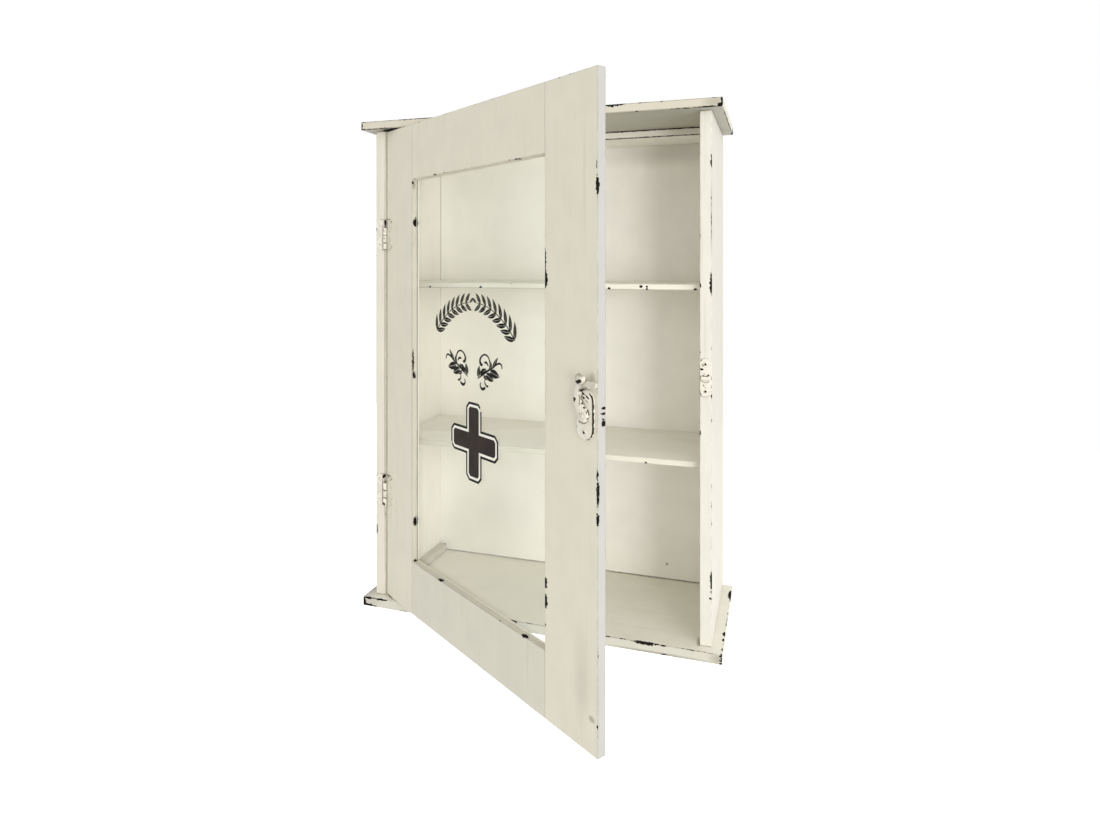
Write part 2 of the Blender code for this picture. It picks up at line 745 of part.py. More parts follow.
def hinge_leaf(name, side, hinge_z, knuckles, material, axis):
    """A wing screwed to a face and rolled into knuckles round the pin, in the pins' frame."""
    rear = pin_standoff - CLEARANCE
    front = rear - HINGE_LEAF_THICKNESS
    bm = bmesh.new()
    add_prism(bm, [(x, z + hinge_z) for x, z in leaf_outline(side)], front, rear)
    leaf = make_object(name, bm, material, (0, 0, hinge_z), axis)
    rolls = bmesh.new()
    for index in knuckles:
        low, high = knuckle_span(hinge_z, index)
        near = side * (BARREL_BORE_RADIUS + WEB_INSET)
        far = side * (BARREL_RADIUS + CLEARANCE + WEB_OVERLAP)
        add_box(rolls, (min(near, far), front + WEB_SKIN, low + WEB_INSET),
                (max(near, far), rear - WEB_SKIN, high - WEB_INSET))
    join(leaf, rolls, "webs")
    tubes = bmesh.new()
    for index in knuckles:
        low, high = knuckle_span(hinge_z, index)
        add_tube(tubes, low, high, BARREL_RADIUS, BARREL_BORE_RADIUS, ROUND_SEGMENTS)
    join(leaf, tubes, "knuckles")
    cut(leaf, screw_holes(HINGE_SCREW, leaf_screw_places(side, hinge_z), (0, -1, 0)),
        "screw_holes")
    return leaf


def hinge_pin(name, hinge_z, material, axis):
    """A pin through all the knuckles, with a head that rests on the top one."""
    low = knuckle_span(hinge_z, 0)[0]
    high = knuckle_span(hinge_z, KNUCKLE_COUNT - 1)[1] + CLEARANCE
    bm = bmesh.new()
    profile = [(0.0, low), (PIN_RADIUS * 0.7, low), (PIN_RADIUS, low + PIN_RADIUS * 0.5),
               (PIN_RADIUS, high), (PIN_HEAD_RADIUS, high),
               (PIN_HEAD_RADIUS, high + PIN_HEAD_HEIGHT * 0.5),
               (PIN_HEAD_RADIUS * 0.6, high + PIN_HEAD_HEIGHT * 0.9),
               (0.0, high + PIN_HEAD_HEIGHT)]
    add_turned(bm, profile, (0, 0, 0), (0, 0, 1), ROUND_SEGMENTS)
    return make_object(name, bm, material, (0, 0, hinge_z), axis, round_shape=True)


def hinges(metal, steel, left_panel, hinge_stile, pin_axis, door_axis):
    """Two hinges. The case leaves carry the end knuckles, and the door leaves the middle one."""
    case_places = []
    door_places = []
    for label, sign in (("upper", 1), ("lower", -1)):
        hinge_z = middle_z + HINGE_RISE + sign * HINGE_SPACING / 2
        hinge_leaf(label + "_hinge_case_leaf", -1, hinge_z, (0, 2), metal, pin_axis)
        hinge_leaf(label + "_hinge_door_leaf", 1, hinge_z, (1,), metal, door_axis)
        hinge_pin(label + "_hinge_pin", hinge_z, steel, pin_axis)
        case_places += named_leaf_screws(label + "_hinge_case", -1, hinge_z)
        door_places += named_leaf_screws(label + "_hinge_door", 1, hinge_z)
    screws(HINGE_SCREW, metal, case_places, (0, -1, 0), pin_axis)
    screws(HINGE_SCREW, metal, door_places, (0, -1, 0), door_axis)
    panel_places = [(x + pin_x, y + pin_y, z) for name, (x, y, z) in case_places]
    stile_places = [place for name, place in door_places]
    cut(left_panel, clearance_holes(HINGE_SCREW, panel_places, (0, -1, 0)), "hinge_screw_holes")
    cut(hinge_stile, clearance_holes(HINGE_SCREW, stile_places, (0, -1, 0)), "hinge_screw_holes")


def smooth_path(points, steps):
    """A smooth curve through points of any number of values, with steps on each stretch."""
    padded = [points[0]] + list(points) + [points[-1]]
    curve = []
    for index in range(1, len(padded) - 2):
        before, start, end, after = padded[index - 1:index + 3]
        for step in range(steps):
            t = step / steps
            curve.append(tuple(
                0.5 * (2 * b + (c - a) * t + (2 * a - 5 * b + 4 * c - d) * t ** 2
                       + (3 * b - a - 3 * c + d) * t ** 3)
                for a, b, c, d in zip(before, start, end, after)))
    curve.append(tuple(points[-1]))
    return curve


def stroke_outline(path, steps):
    """The outline of a line of changing width with round ends, from (x, z, half width) points."""
    curve = smooth_path(path, steps)
    left = []
    right = []
    headings = []
    for index, (x, z, half) in enumerate(curve):
        before = curve[max(index - 1, 0)]
        after = curve[min(index + 1, len(curve) - 1)]
        heading = math.atan2(after[1] - before[1], after[0] - before[0])
        headings.append(math.degrees(heading))
        left.append((x - half * math.sin(heading), z + half * math.cos(heading)))
        right.append((x + half * math.sin(heading), z - half * math.cos(heading)))
    end_x, end_z, end_half = curve[-1]
    start_x, start_z, start_half = curve[0]
    end_cap = arc(end_x, end_z, end_half, headings[-1] + 90, headings[-1] - 90, ARC_STEPS)
    start_cap = arc(start_x, start_z, start_half, headings[0] - 90, headings[0] - 270, ARC_STEPS)
    return left[:-1] + end_cap + list(reversed(right))[1:-1] + start_cap[:-1]


def turned_point(x, z, degrees):
    """A point of the lever's plane after the lever turns clockwise, seen from the front."""
    angle = math.radians(-degrees)
    return (x * math.cos(angle) - z * math.sin(angle), x * math.sin(angle) + z * math.cos(angle))


def add_ellipsoid(bm, centre, half_sizes, segments, rings):
    """A closed ellipsoid whose poles lie on the Y axis."""
    profile = []
    for ring in range(rings + 1):
        angle = math.pi * ring / rings
        radius = 0.0 if ring in (0, rings) else math.sin(angle)
        profile.append((radius, -math.cos(angle)))
    made = bmesh.new()
    add_turned(made, profile, (0, 0, 0), (0, -1, 0), segments)
    place = Matrix.Translation(centre) @ Matrix.Diagonal((*half_sizes, 1.0))
    bmesh.ops.transform(made, matrix=place, verts=made.verts)
    scratch = bpy.data.meshes.new("scratch")
    made.to_mesh(scratch)
    made.free()
    bm.from_mesh(scratch)
    bpy.data.meshes.remove(scratch)


def latch(metal, steel, latch_stile, latch_axis):
    """The latch on the door: plate with its boss, lever in one piece, rivet and screws."""
    plate_bm = bmesh.new()
    add_prism(plate_bm, oblong(LATCH_PLATE_WIDTH, LATCH_PLATE_HEIGHT, -LATCH_PLATE_SHIFT),
              plate_face, -CLEARANCE)
    plate = make_object("latch_plate", plate_bm, metal, (0, 0, 0), latch_axis)
    soften(plate, METAL_ARRIS)
    boss = bmesh.new()
    add_rod(boss, (0, plate_face + LATCH_BOSS_HEIGHT, 0), (0, -1, 0), LATCH_BOSS_RADIUS,
            2 * LATCH_BOSS_HEIGHT, FINE_SEGMENTS)
    join(plate, boss, "boss")
    rivet_hole = RIVET_RADIUS + CLEARANCE
    bore_length = 2 * CUT_OVERRUN - lever_face
    bore = bmesh.new()
    add_rod(bore, (0, CUT_OVERRUN, 0), (0, -1, 0), rivet_hole, bore_length, ROUND_SEGMENTS)
    cut(plate, bore, "rivet_hole")
    screw_places = [(-LATCH_PLATE_SHIFT, plate_face, sign * LATCH_SCREW_OFFSET)
                    for sign in (-1, 1)]
    cut(plate, screw_holes(LATCH_SCREW, screw_places, (0, -1, 0)), "screw_holes")

    lever_bm = bmesh.new()
    add_prism(lever_bm, stroke_outline(LEVER_PATH, LEVER_STEPS), lever_face, lever_back)
    lever = make_object("latch_lever", lever_bm, metal, (0, 0, 0), latch_axis)
    soften(lever, METAL_ARRIS)
    knob = bmesh.new()
    knob_y = lever_face - KNOB_HALF_DEPTH + KNOB_SUNK
    add_ellipsoid(knob, (KNOB_X, knob_y, KNOB_Z),
                  (KNOB_HALF_WIDTH, KNOB_HALF_DEPTH, KNOB_HALF_HEIGHT), ROUND_SEGMENTS,
                  KNOB_RINGS)
    join(lever, knob, "knob")
    lever_bore = bmesh.new()
    add_rod(lever_bore, (0, CUT_OVERRUN, 0), (0, -1, 0), rivet_hole, bore_length, ROUND_SEGMENTS)
    cut(lever, lever_bore, "rivet_hole")

    rivet = bmesh.new()
    head_seat = -lever_face + CLEARANCE
    profile = [(0.0, -RIVET_LENGTH_IN_DOOR), (RIVET_RADIUS, -RIVET_LENGTH_IN_DOOR),
               (RIVET_RADIUS, head_seat), (RIVET_HEAD_RADIUS, head_seat),
               (RIVET_HEAD_RADIUS, head_seat + RIVET_HEAD_HEIGHT * 0.3),
               (RIVET_HEAD_RADIUS * 0.75, head_seat + RIVET_HEAD_HEIGHT * 0.8),
               (0.0, head_seat + RIVET_HEAD_HEIGHT)]
    add_turned(rivet, profile, (0, 0, 0), (0, -1, 0), ROUND_SEGMENTS)
    make_object("latch_rivet", rivet, metal, (0, 0, 0), latch_axis, round_shape=True)

    screws(LATCH_SCREW, metal, upper_and_lower("latch_screw", screw_places), (0, -1, 0),
           latch_axis)

    door_places = [(x + latch_x, door_front + plate_face, z + latch_z) for x, y, z in screw_places]
    cut(latch_stile, clearance_holes(LATCH_SCREW, door_places, (0, -1, 0)), "latch_screw_holes")
    rivet_room = bmesh.new()
    add_rod(rivet_room, (latch_x, door_front - CUT_OVERRUN, latch_z), (0, 1, 0), rivet_hole,
            RIVET_LENGTH_IN_DOOR + CUT_OVERRUN + CLEARANCE, ROUND_SEGMENTS)
    cut(latch_stile, rivet_room, "rivet_hole")


def keeper(metal, right_panel):
    """The keeper on the right panel's front edge. The lever's tongue drops in behind its lip."""
    width = SIDE_THICKNESS
    x = outer_x - SIDE_THICKNESS / 2
    z = latch_z + KEEPER_RISE
    face = front_y - CLEARANCE - KEEPER_THICKNESS
    bm = bmesh.new()
    add_prism(bm, oblong(width, KEEPER_HEIGHT, x, z), face, front_y - CLEARANCE)
    plate = make_object("keeper_plate", bm, metal, (x, face, z))
    soften(plate, KEEPER_ARRIS)

    tongue_x, tongue_z, tongue_half = LEVER_PATH[-1]
    tongue_low = latch_z + turned_point(tongue_x, tongue_z, LEVER_TURN_DEGREES)[1] - tongue_half
    foot_top = tongue_low - LIP_FOOT_ROOM
    foot_low = foot_top - LIP_FOOT_THICKNESS
    lip_top = tongue_low + LIP_COVER
    lip_rear = front_y + lever_face - LIP_FRONT_ROOM
    lip_face = lip_rear - LIP_THICKNESS
    low_x = x - width / 2 + LIP_LEFT_INSET
    high_x = x + width / 2 - LIP_RIGHT_INSET
    root = face + LIP_ROOT
    hook = bmesh.new()
    near = [(low_x, root, foot_low), (low_x, lip_face, foot_low),
            (low_x, lip_face, lip_top), (low_x, lip_rear, lip_top),
            (low_x, lip_rear, foot_top), (low_x, root, foot_top)]
    near_verts = [hook.verts.new(point) for point in near]
    far_verts = [hook.verts.new((high_x, y, z)) for _, y, z in near]
    hook.faces.new(near_verts)
    hook.faces.new(list(reversed(far_verts)))
    for index in range(len(near)):
        following = (index + 1) % len(near)
        hook.faces.new((near_verts[following], near_verts[index], far_verts[index],
                        far_verts[following]))
    outer = [edge for edge in hook.edges
             if all(abs(vert.co.y - lip_face) < 1e-6 for vert in edge.verts)]
    bmesh.ops.bevel(hook, geom=outer, offset=LIP_ARRIS, segments=2, affect="EDGES", profile=0.5)
    join(plate, hook, "hook")
    places = [(x, face, z + sign * KEEPER_SCREW_OFFSET) for sign in (-1, 1)]
    cut(plate, screw_holes(KEEPER_SCREW, places, (0, -1, 0)), "screw_holes")
    cut(right_panel, clearance_holes(KEEPER_SCREW, places, (0, -1, 0)), "keeper_screw_holes")
    screws(KEEPER_SCREW, metal, upper_and_lower("keeper_screw", places), (0, -1, 0))


def main():
    clear_scene()
    wood = finish("painted_wood", (0.71, 0.66, 0.53), 0.55)
    metal = finish("painted_metal", (0.76, 0.72, 0.60), 0.45)
    steel = finish("dark_steel", (0.20, 0.18, 0.15), 0.45, metallic=1.0)
    glass = finish("window_glass", (0.90, 0.94, 0.92), 0.05, alpha=0.25)

    left_panel, right_panel = case(wood, steel)
    pin_axis = make_axis("pin_axis", (pin_x, pin_y, 0.0))
    door_axis = make_axis("door_axis", (pin_x, pin_y, 0.0), None,
                          -math.radians(DOOR_OPEN_DEGREES))
    latch_axis = make_axis("latch_axis", (latch_x, door_front, latch_z), door_axis)
    hinge_stile, latch_stile = door_frame(wood, glass, door_axis)
    hinges(metal, steel, left_panel, hinge_stile, pin_axis, door_axis)
    latch(metal, steel, latch_stile, latch_axis)
    keeper(metal, right_panel)


main()
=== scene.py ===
# Wall-hung medicine cabinet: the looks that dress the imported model.
# Metres in the model's own frame: X along the width, Y into the wall, Z up.
import json
import math

import bmesh
import bpy
import numpy as np
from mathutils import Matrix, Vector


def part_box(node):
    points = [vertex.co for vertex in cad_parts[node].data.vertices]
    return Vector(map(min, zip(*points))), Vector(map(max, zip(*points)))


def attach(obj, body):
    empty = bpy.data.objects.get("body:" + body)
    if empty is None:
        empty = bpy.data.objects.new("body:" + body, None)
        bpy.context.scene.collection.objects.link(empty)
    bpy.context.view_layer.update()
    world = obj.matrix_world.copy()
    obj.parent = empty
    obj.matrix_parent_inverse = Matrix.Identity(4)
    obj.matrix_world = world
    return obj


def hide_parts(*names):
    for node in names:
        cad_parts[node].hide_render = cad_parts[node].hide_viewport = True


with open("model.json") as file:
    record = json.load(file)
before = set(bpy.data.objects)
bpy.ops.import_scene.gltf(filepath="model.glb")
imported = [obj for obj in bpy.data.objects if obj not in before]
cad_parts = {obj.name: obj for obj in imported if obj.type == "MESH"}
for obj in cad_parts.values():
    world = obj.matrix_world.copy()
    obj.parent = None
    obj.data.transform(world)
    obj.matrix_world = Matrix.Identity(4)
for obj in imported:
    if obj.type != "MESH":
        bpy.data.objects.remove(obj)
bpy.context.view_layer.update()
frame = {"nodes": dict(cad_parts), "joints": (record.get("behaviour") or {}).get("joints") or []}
nodes = frame["nodes"]
hinge = next(joint for joint in frame["joints"] if joint["name"] == "door_hinge")
pin = np.array(hinge["pos_m"])
doorTurn = math.radians(hinge["range_deg"][0])  # the door stands open at rest
print("frame loaded,", len(nodes), "nodes")


# Small tools for materials and meshes

mm = 0.001


def toLinear(hexColour):
    # An sRGB hex colour as the linear colour that a shader takes
    parts = np.array([int(hexColour[i:i + 2], 16) for i in (1, 3, 5)]) / 255
    linear = np.where(parts <= 0.04045, parts / 12.92, ((parts + 0.055) / 1.055) ** 2.4)
    return (*linear.tolist(), 1.0)


def darker(colour, share):
    return (*[value * share for value in colour[:3]], 1.0)


def add(tree, kind, inputs, out=0, **settings):
    # One node: its inputs are links, values or hex colours, and it hands on one of its outputs
    made = tree.nodes.new("ShaderNode" + kind)
    for key, value in settings.items():
        setattr(made, key, value)
    for key, value in inputs.items():
        if isinstance(value, bpy.types.NodeSocket):
            tree.links.new(value, made.inputs[key])
        else:
            made.inputs[key].default_value = toLinear(value) if isinstance(value, str) else value
    return made.outputs[out] if made.outputs else made


def newMaterial(name):
    material = bpy.data.materials.new(name)
    material.use_nodes = True
    material.node_tree.nodes.clear()
    return material, material.node_tree


def ownPlace(tree, onDoor=False):
    # Object coordinates, for the door turned back into its own frame
    own = add(tree, "TexCoord", {}, 3)
    if not onDoor:
        return own
    across = math.cos(doorTurn) * pin[0] + math.sin(doorTurn) * pin[1]
    inward = math.cos(doorTurn) * pin[1] - math.sin(doorTurn) * pin[0]
    return add(tree, "Mapping", {"Vector": own, "Location": (-across, -inward, 0),
                                 "Rotation": (0, 0, -doorTurn)})


def finish(material, colour, roughness, height, strength, depth, more):
    # The surface with its relief, and the material's output
    tree = material.node_tree
    bump = add(tree, "Bump", {"Strength": strength, "Distance": depth, "Height": height})
    shader = add(tree, "BsdfPrincipled", {"Base Color": colour, "Roughness": roughness,
                                          "Normal": bump, **more})
    add(tree, "OutputMaterial", {0: shader})
    return material


def dress(nodeNames, material):
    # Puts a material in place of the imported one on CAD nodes
    for name in nodeNames:
        for index in range(len(nodes[name].data.materials)):
            nodes[name].data.materials[index] = material


# Camera, lights and floor

view = {
    "place": (0.2746, -0.9410, 0.4165),
    "turnDegrees": 17.863,
    "lens": 23.243,
    "sensor": 36,
    "shiftY": -0.1330,
}
light = {
    "target": (0, -0.10, 0.32),
    "lamps": {  # place, width and height, watts
        "keyLamp": ((1.304, -2.10, 0.36), (0.47, 0.80), 13.7),
        "rightSoftbox": ((1.75, -1.35, 0.40), (1.2, 1.2), 22.3),
        "leftSoftbox": ((-1.50, -1.90, 0.40), (1.4, 1.4), 3.6),
    },
    "skyHigh": 0.915,  # the room's own light from above and from below
    "skyLow": 0.66,
    "skyBlend": 0.25,  # how far from level the one runs into the other
}
studioFloor = {"half": 5, "level": -0.9, "colour": "#f4f3f0", "roughness": 0.9, "glow": 0.55}
white = (1, 1, 1, 1)


def addObject(name, data, location, rotation=(0, 0, 0)):
    placed = bpy.data.objects.new(name, data)
    placed.location = location
    placed.rotation_euler = rotation
    bpy.context.scene.collection.objects.link(placed)
    return placed


def aim(location, target):
    # The turn that points an object's own -Z at the target
    away = np.array(location) - np.array(target)
    return math.atan2(math.hypot(away[0], away[1]), away[2]), 0, math.atan2(away[0], -away[1])


def setStudio():
    lens = bpy.data.cameras.new("camera")
    lens.sensor_width = view["sensor"]
    lens.sensor_fit = "HORIZONTAL"
    lens.lens = view["lens"]
    lens.shift_y = view["shiftY"]
    lens.clip_start = 0.01
    bpy.context.scene.camera = addObject("camera", lens, view["place"],
                                         (math.pi / 2, 0, math.radians(view["turnDegrees"])))
    for name, (location, size, power) in light["lamps"].items():
        lamp = bpy.data.lights.new(name, "AREA")
        lamp.shape = "RECTANGLE"
        lamp.size, lamp.size_y = size
        lamp.energy = power
        addObject(name, lamp, location, aim(location, light["target"]))
    bpy.context.scene.view_settings.view_transform = "Standard"


def setWorld():
    world = bpy.data.worlds.new("studio")
    bpy.context.scene.world = world
    world.use_nodes = True
    tree = world.node_tree
    tree.nodes.clear()
    upright = add(tree, "SeparateXYZ", {0: add(tree, "TexCoord", {})}, 2)
    sky = add(tree, "MapRange", {0: upright, 1: -light["skyBlend"], 2: light["skyBlend"],
                                 3: light["skyLow"], 4: light["skyHigh"]})
    lit, seen = (add(tree, "Background", {0: white, 1: strength}) for strength in (sky, 1))
    both = add(tree, "MixShader", {0: add(tree, "LightPath", {}), 1: lit, 2: seen})
    add(tree, "OutputWorld", {0: both})


def makeFloor():
    # A plain pale studio floor well below the hung cabinet, bright enough to meet the background
    material, tree = newMaterial("whiteStudioFloor")
    shader = add(tree, "BsdfPrincipled", {"Base Color": toLinear(studioFloor["colour"]),
                                          "Roughness": studioFloor["roughness"],
                                          "Emission Color": white,
                                          "Emission Strength": studioFloor["glow"]})
    add(tree, "OutputMaterial", {0: shader})
    half = studioFloor["half"]
    mesh = bpy.data.meshes.new("floor")
    mesh.from_pydata([(x * half, y * half, studioFloor["level"])
                      for x, y in ((-1, -1), (1, -1), (1, 1), (-1, 1))], [], [(0, 1, 2, 3)])
    mesh.materials.append(material)
    floor = addObject("floor", mesh, (0, 0, 0))
    floor.visible_diffuse = False  # its glow doesn't light the undersides


setStudio()
setWorld()
makeFloor()
print("studio set")


# Painted wood: chalky cream emulsion brushed over dark stained pine, rubbed through at arrises

paint = {
    "shadeShare": 0.90,  # how dark the thin places of the coat are beside the full coat
    "greyStreak": "#b9b2a0",
    # The colour of the arris dirt and of the painted shade smudges
    "dirtAndShade": "#6f6654",
    "darkWood": "#14100e",
    "brownWood": "#33261d",
    "strandWidth": 2.2,  # mm, one bristle track, drawn coarser than real so that it shows
    "strandLength": 70,
    "mottleSize": 30,
    "rubSize": 9,
    "rubReach": 0.016,  # metres from an arris at which nothing more is rubbed
    "chipEdge": 3.5,
    "chipShake": 0.0034,  # metres that the chips' edges wander
    "chipRags": 1.9,
    "chipFray": 1.5,  # how much that noise adds, in chip radii, and where the rim then lies
    "rimOut": 1.79,
    "rimIn": 1.67,
    "relief": 0.00022,
}


def arrisDistance(tree, place, low, high):
    # Distance to a board's nearest arris: the middle one of the distances to its three faces
    centre = [(a + b) / 2 for a, b in zip(low, high)]
    half = [(b - a) / 2 for a, b in zip(low, high)]
    away = add(tree, "VectorMath", {0: place, 1: centre}, operation="SUBTRACT")
    away = add(tree, "VectorMath", {0: away}, operation="ABSOLUTE")
    away = add(tree, "VectorMath", {0: half, 1: away}, operation="SUBTRACT")
    x, y, z = add(tree, "SeparateXYZ", {0: away}).node.outputs
    least = add(tree, "Math", {0: x, 1: y}, operation="MINIMUM")
    rest = add(tree, "Math", {0: x, 1: y}, operation="MAXIMUM")
    rest = add(tree, "Math", {0: rest, 1: z}, operation="MINIMUM")
    return add(tree, "Math", {0: least, 1: rest}, operation="MAXIMUM")


def openingDistance(tree, place, low, high, frontY):
    # Distance to the arris round the glass: across the face outside the opening, or in from the face
    centre = [(low[0] + high[0]) / 2, 0, (low[1] + high[1]) / 2]
    half = [(high[0] - low[0]) / 2, 0, (high[1] - low[1]) / 2]
    away = add(tree, "VectorMath", {0: place, 1: centre}, operation="SUBTRACT")
    away = add(tree, "VectorMath", {0: away}, operation="ABSOLUTE")
    away = add(tree, "VectorMath", {0: away, 1: half}, operation="SUBTRACT")
    away = add(tree, "VectorMath", {0: away, 1: (0, 0, 0)}, operation="MAXIMUM")
    away = add(tree, "VectorMath", {0: away, 1: (1, 0, 1)}, operation="MULTIPLY")
    across = add(tree, "VectorMath", {0: away}, 1, operation="LENGTH")
    depth = add(tree, "Math", {0: add(tree, "SeparateXYZ", {0: place}, 1), 1: frontY},
                operation="SUBTRACT")
    depth = add(tree, "Math", {0: depth}, operation="ABSOLUTE")
    return add(tree, "Math", {0: across, 1: depth}, operation="MAXIMUM")


def chipDistance(tree, place, chips):
    # Distance to the nearest of the chips, in chip radii: 0 at a chip's middle and 1 at its edge
    nearest = None
    for x, y, z, rx, ry, rz in chips:
        local = add(tree, "Mapping", {"Vector": place, "Scale": [1 / (r * mm) for r in (rx, ry, rz)],
                                      "Location": (-x / rx, -y / ry, -z / rz)})
        away = add(tree, "VectorMath", {0: local}, 1, operation="LENGTH")
        nearest = add(tree, "Math", {0: nearest, 1: away}, operation="MINIMUM") if nearest else away
    return nearest


def shaken(tree, place, size, reach):
    # The place moved about by noise, so that an edge drawn with it wanders
    jitter = add(tree, "TexNoise", {"Vector": place, "Scale": 1 / (size * mm), "Detail": 3}, 1)
    moved = add(tree, "VectorMath", {0: jitter, 1: (reach,) * 3, 2: place}, operation="MULTIPLY_ADD")
    return add(tree, "VectorMath", {0: moved, 1: (reach / 2,) * 3}, operation="SUBTRACT")


def facing(tree, direction):
    # 1 on surfaces that look along a direction of the object's own space, 0 on the others
    normal = add(tree, "TexCoord", {}, 1)
    along = add(tree, "VectorMath", {0: normal, 1: direction}, 1, operation="DOT_PRODUCT")
    return add(tree, "MapRange", {0: along, 1: 0.65, 2: 0.9})


def paintedWood(name, board):
    # Board keys: cream (the board's paint, lighter on some boards and darker on others as painted light
    # and shade), low, high, grain (0, 1 or 2), and if wanted door, opening, rub, streaks, brush (how
    # plain the bristle tracks are), line (how dark the arrises are), tints (other creams on the faces
    # that look a given way: painted light and shade), soil and chips (ellipsoids in mm: x, y, z and half
    # sizes; the soil is dirt and painted shade, and a few chips are painted shade)
    material, tree = newMaterial(name)
    own = ownPlace(tree, board.get("door"))
    brush = board.get("brush", 1)
    # Bristle tracks run along the grain
    tracks = [1 / (paint["strandWidth"] * mm)] * 3
    tracks[board["grain"]] = 1 / (paint["strandLength"] * mm)
    swept = add(tree, "Mapping", {"Vector": own, "Scale": tracks, "Location": (3.1, 7.7, 1.9)})
    strands = add(tree, "TexNoise", {"Vector": swept, "Scale": 1, "Detail": 3, "Roughness": 0.55})
    swept = add(tree, "Mapping", {"Vector": own, "Scale": [value * 0.33 for value in tracks],
                                  "Location": (11.3, 2.7, 5.9)})
    greys = add(tree, "TexNoise", {"Vector": swept, "Scale": 1, "Detail": 4, "Roughness": 0.6})
    mottle = add(tree, "TexNoise", {"Vector": own, "Scale": 1 / (paint["mottleSize"] * mm), "Detail": 2})
    # Paint colour: cream, its shade where the coat is thin, and faint grey tracks
    thin = add(tree, "MapRange", {0: strands, 1: 0.30, 2: 0.75, 4: 0.55 * brush})
    cloud = add(tree, "MapRange", {0: mottle, 1: 0.35, 2: 0.75, 4: 0.45})
    shaded = add(tree, "Math", {0: thin, 1: cloud}, operation="ADD", use_clamp=True)
    full = toLinear(board["cream"])
    shade = darker(full, paint["shadeShare"])
    coat = add(tree, "Mix", {0: shaded, 6: full, 7: shade}, 2, data_type="RGBA")
    track = add(tree, "MapRange", {0: greys, 1: 0.58, 2: 0.74, 4: board.get("streaks", 0.35)},
                interpolation_type="SMOOTHSTEP")
    coat = add(tree, "Mix", {0: track, 6: coat, 7: paint["greyStreak"]}, 2, data_type="RGBA")
    # Faces that look a given way take their own lighter and darker creams: painted light and shade for
    # how the light falls on them
    for way, cream in board.get("faceShades", {}).items():
        share = tuple(np.divide(toLinear(cream), full).tolist())
        coat = add(tree, "Mix", {0: facing(tree, ways[way]), 6: coat, 7: share}, 2,
                   data_type="RGBA", blend_type="MULTIPLY")
    # Soil and painted shade: a dark line of dirt along the arrises, broken by noise, and the placed
    # smudges, many of them painted shade and shadow in gaps, corners and under boards
    rough = add(tree, "TexNoise", {"Vector": own, "Scale": 1 / (paint["rubSize"] * mm), "Detail": 5,
                                   "Roughness": 0.62})
    edge = arrisDistance(tree, own, board["low"], board["high"])
    if board.get("opening"):
        inner = openingDistance(tree, own, *board["opening"])
        edge = add(tree, "Math", {0: edge, 1: inner}, operation="MINIMUM")
    rim = add(tree, "MapRange", {0: edge, 1: 0.0010, 2: 0.0004, 4: board.get("line", 0.3)})
    broken = add(tree, "MapRange", {0: rough, 1: 0.35, 2: 0.55})
    dirtAndShade = add(tree, "Math", {0: rim, 1: broken}, operation="MULTIPLY")
    if board.get("soilAndShade"):
        away = chipDistance(tree, own, board["soilAndShade"])
        smudgeAndShade = add(tree, "MapRange", {0: away, 1: 1.1, 2: 0.3, 4: 0.55},
                     interpolation_type="SMOOTHSTEP")
        dirtAndShade = add(tree, "Math", {0: dirtAndShade, 1: smudgeAndShade}, operation="MAXIMUM")
    coat = add(tree, "Mix", {0: dirtAndShade, 6: coat, 7: paint["dirtAndShade"]}, 2, data_type="RGBA")
    # Where the paint is gone: rubbed arrises by noise, and the placed chips
    inward = add(tree, "Math", {0: edge, 1: 1 / paint["rubReach"]}, operation="MULTIPLY")
    level = add(tree, "Math", {0: rough, 1: inward}, operation="SUBTRACT")
    rub = board.get("rub", 0.60)
    gone = add(tree, "MapRange", {0: level, 1: rub, 2: rub + 0.02})
    if board.get("chips"):
        ragged = shaken(tree, own, paint["chipEdge"], paint["chipShake"])
        away = chipDistance(tree, ragged, board["chips"])
        rags = add(tree, "TexNoise", {"Vector": own, "Scale": 1 / (paint["chipRags"] * mm), "Detail": 3})
        frayed = add(tree, "Math", {0: rags, 1: paint["chipFray"], 2: away}, operation="MULTIPLY_ADD")
        chipped = add(tree, "MapRange", {0: frayed, 1: paint["rimOut"], 2: paint["rimIn"]})
        gone = add(tree, "Math", {0: gone, 1: chipped}, operation="MAXIMUM")
    bare = add(tree, "MapRange", {0: strands, 1: 0.55, 2: 0.75, 4: 0.6})
    wood = add(tree, "Mix", {0: bare, 6: paint["darkWood"], 7: paint["brownWood"]}, 2, data_type="RGBA")
    colour = add(tree, "Mix", {0: gone, 6: coat, 7: wood}, 2, data_type="RGBA")
    sheen = add(tree, "MapRange", {0: strands, 1: 0.3, 2: 0.7, 3: 0.46, 4: 0.60})
    sheen = add(tree, "MapRange", {0: gone, 3: sheen, 4: 0.8})
    gloss = add(tree, "MapRange", {0: gone, 3: 0.5, 4: 0.1})
    # Relief: bristle tracks of some hundredths of a mm, and chips a coat of paint deep
    sunk = add(tree, "Math", {0: strands, 1: 0.25 * brush}, operation="MULTIPLY")
    sunk = add(tree, "Math", {0: sunk, 1: gone}, operation="SUBTRACT")
    return finish(material, colour, sheen, sunk, 1, paint["relief"],
                  {"Specular IOR Level": gloss, "IOR": 1.5})


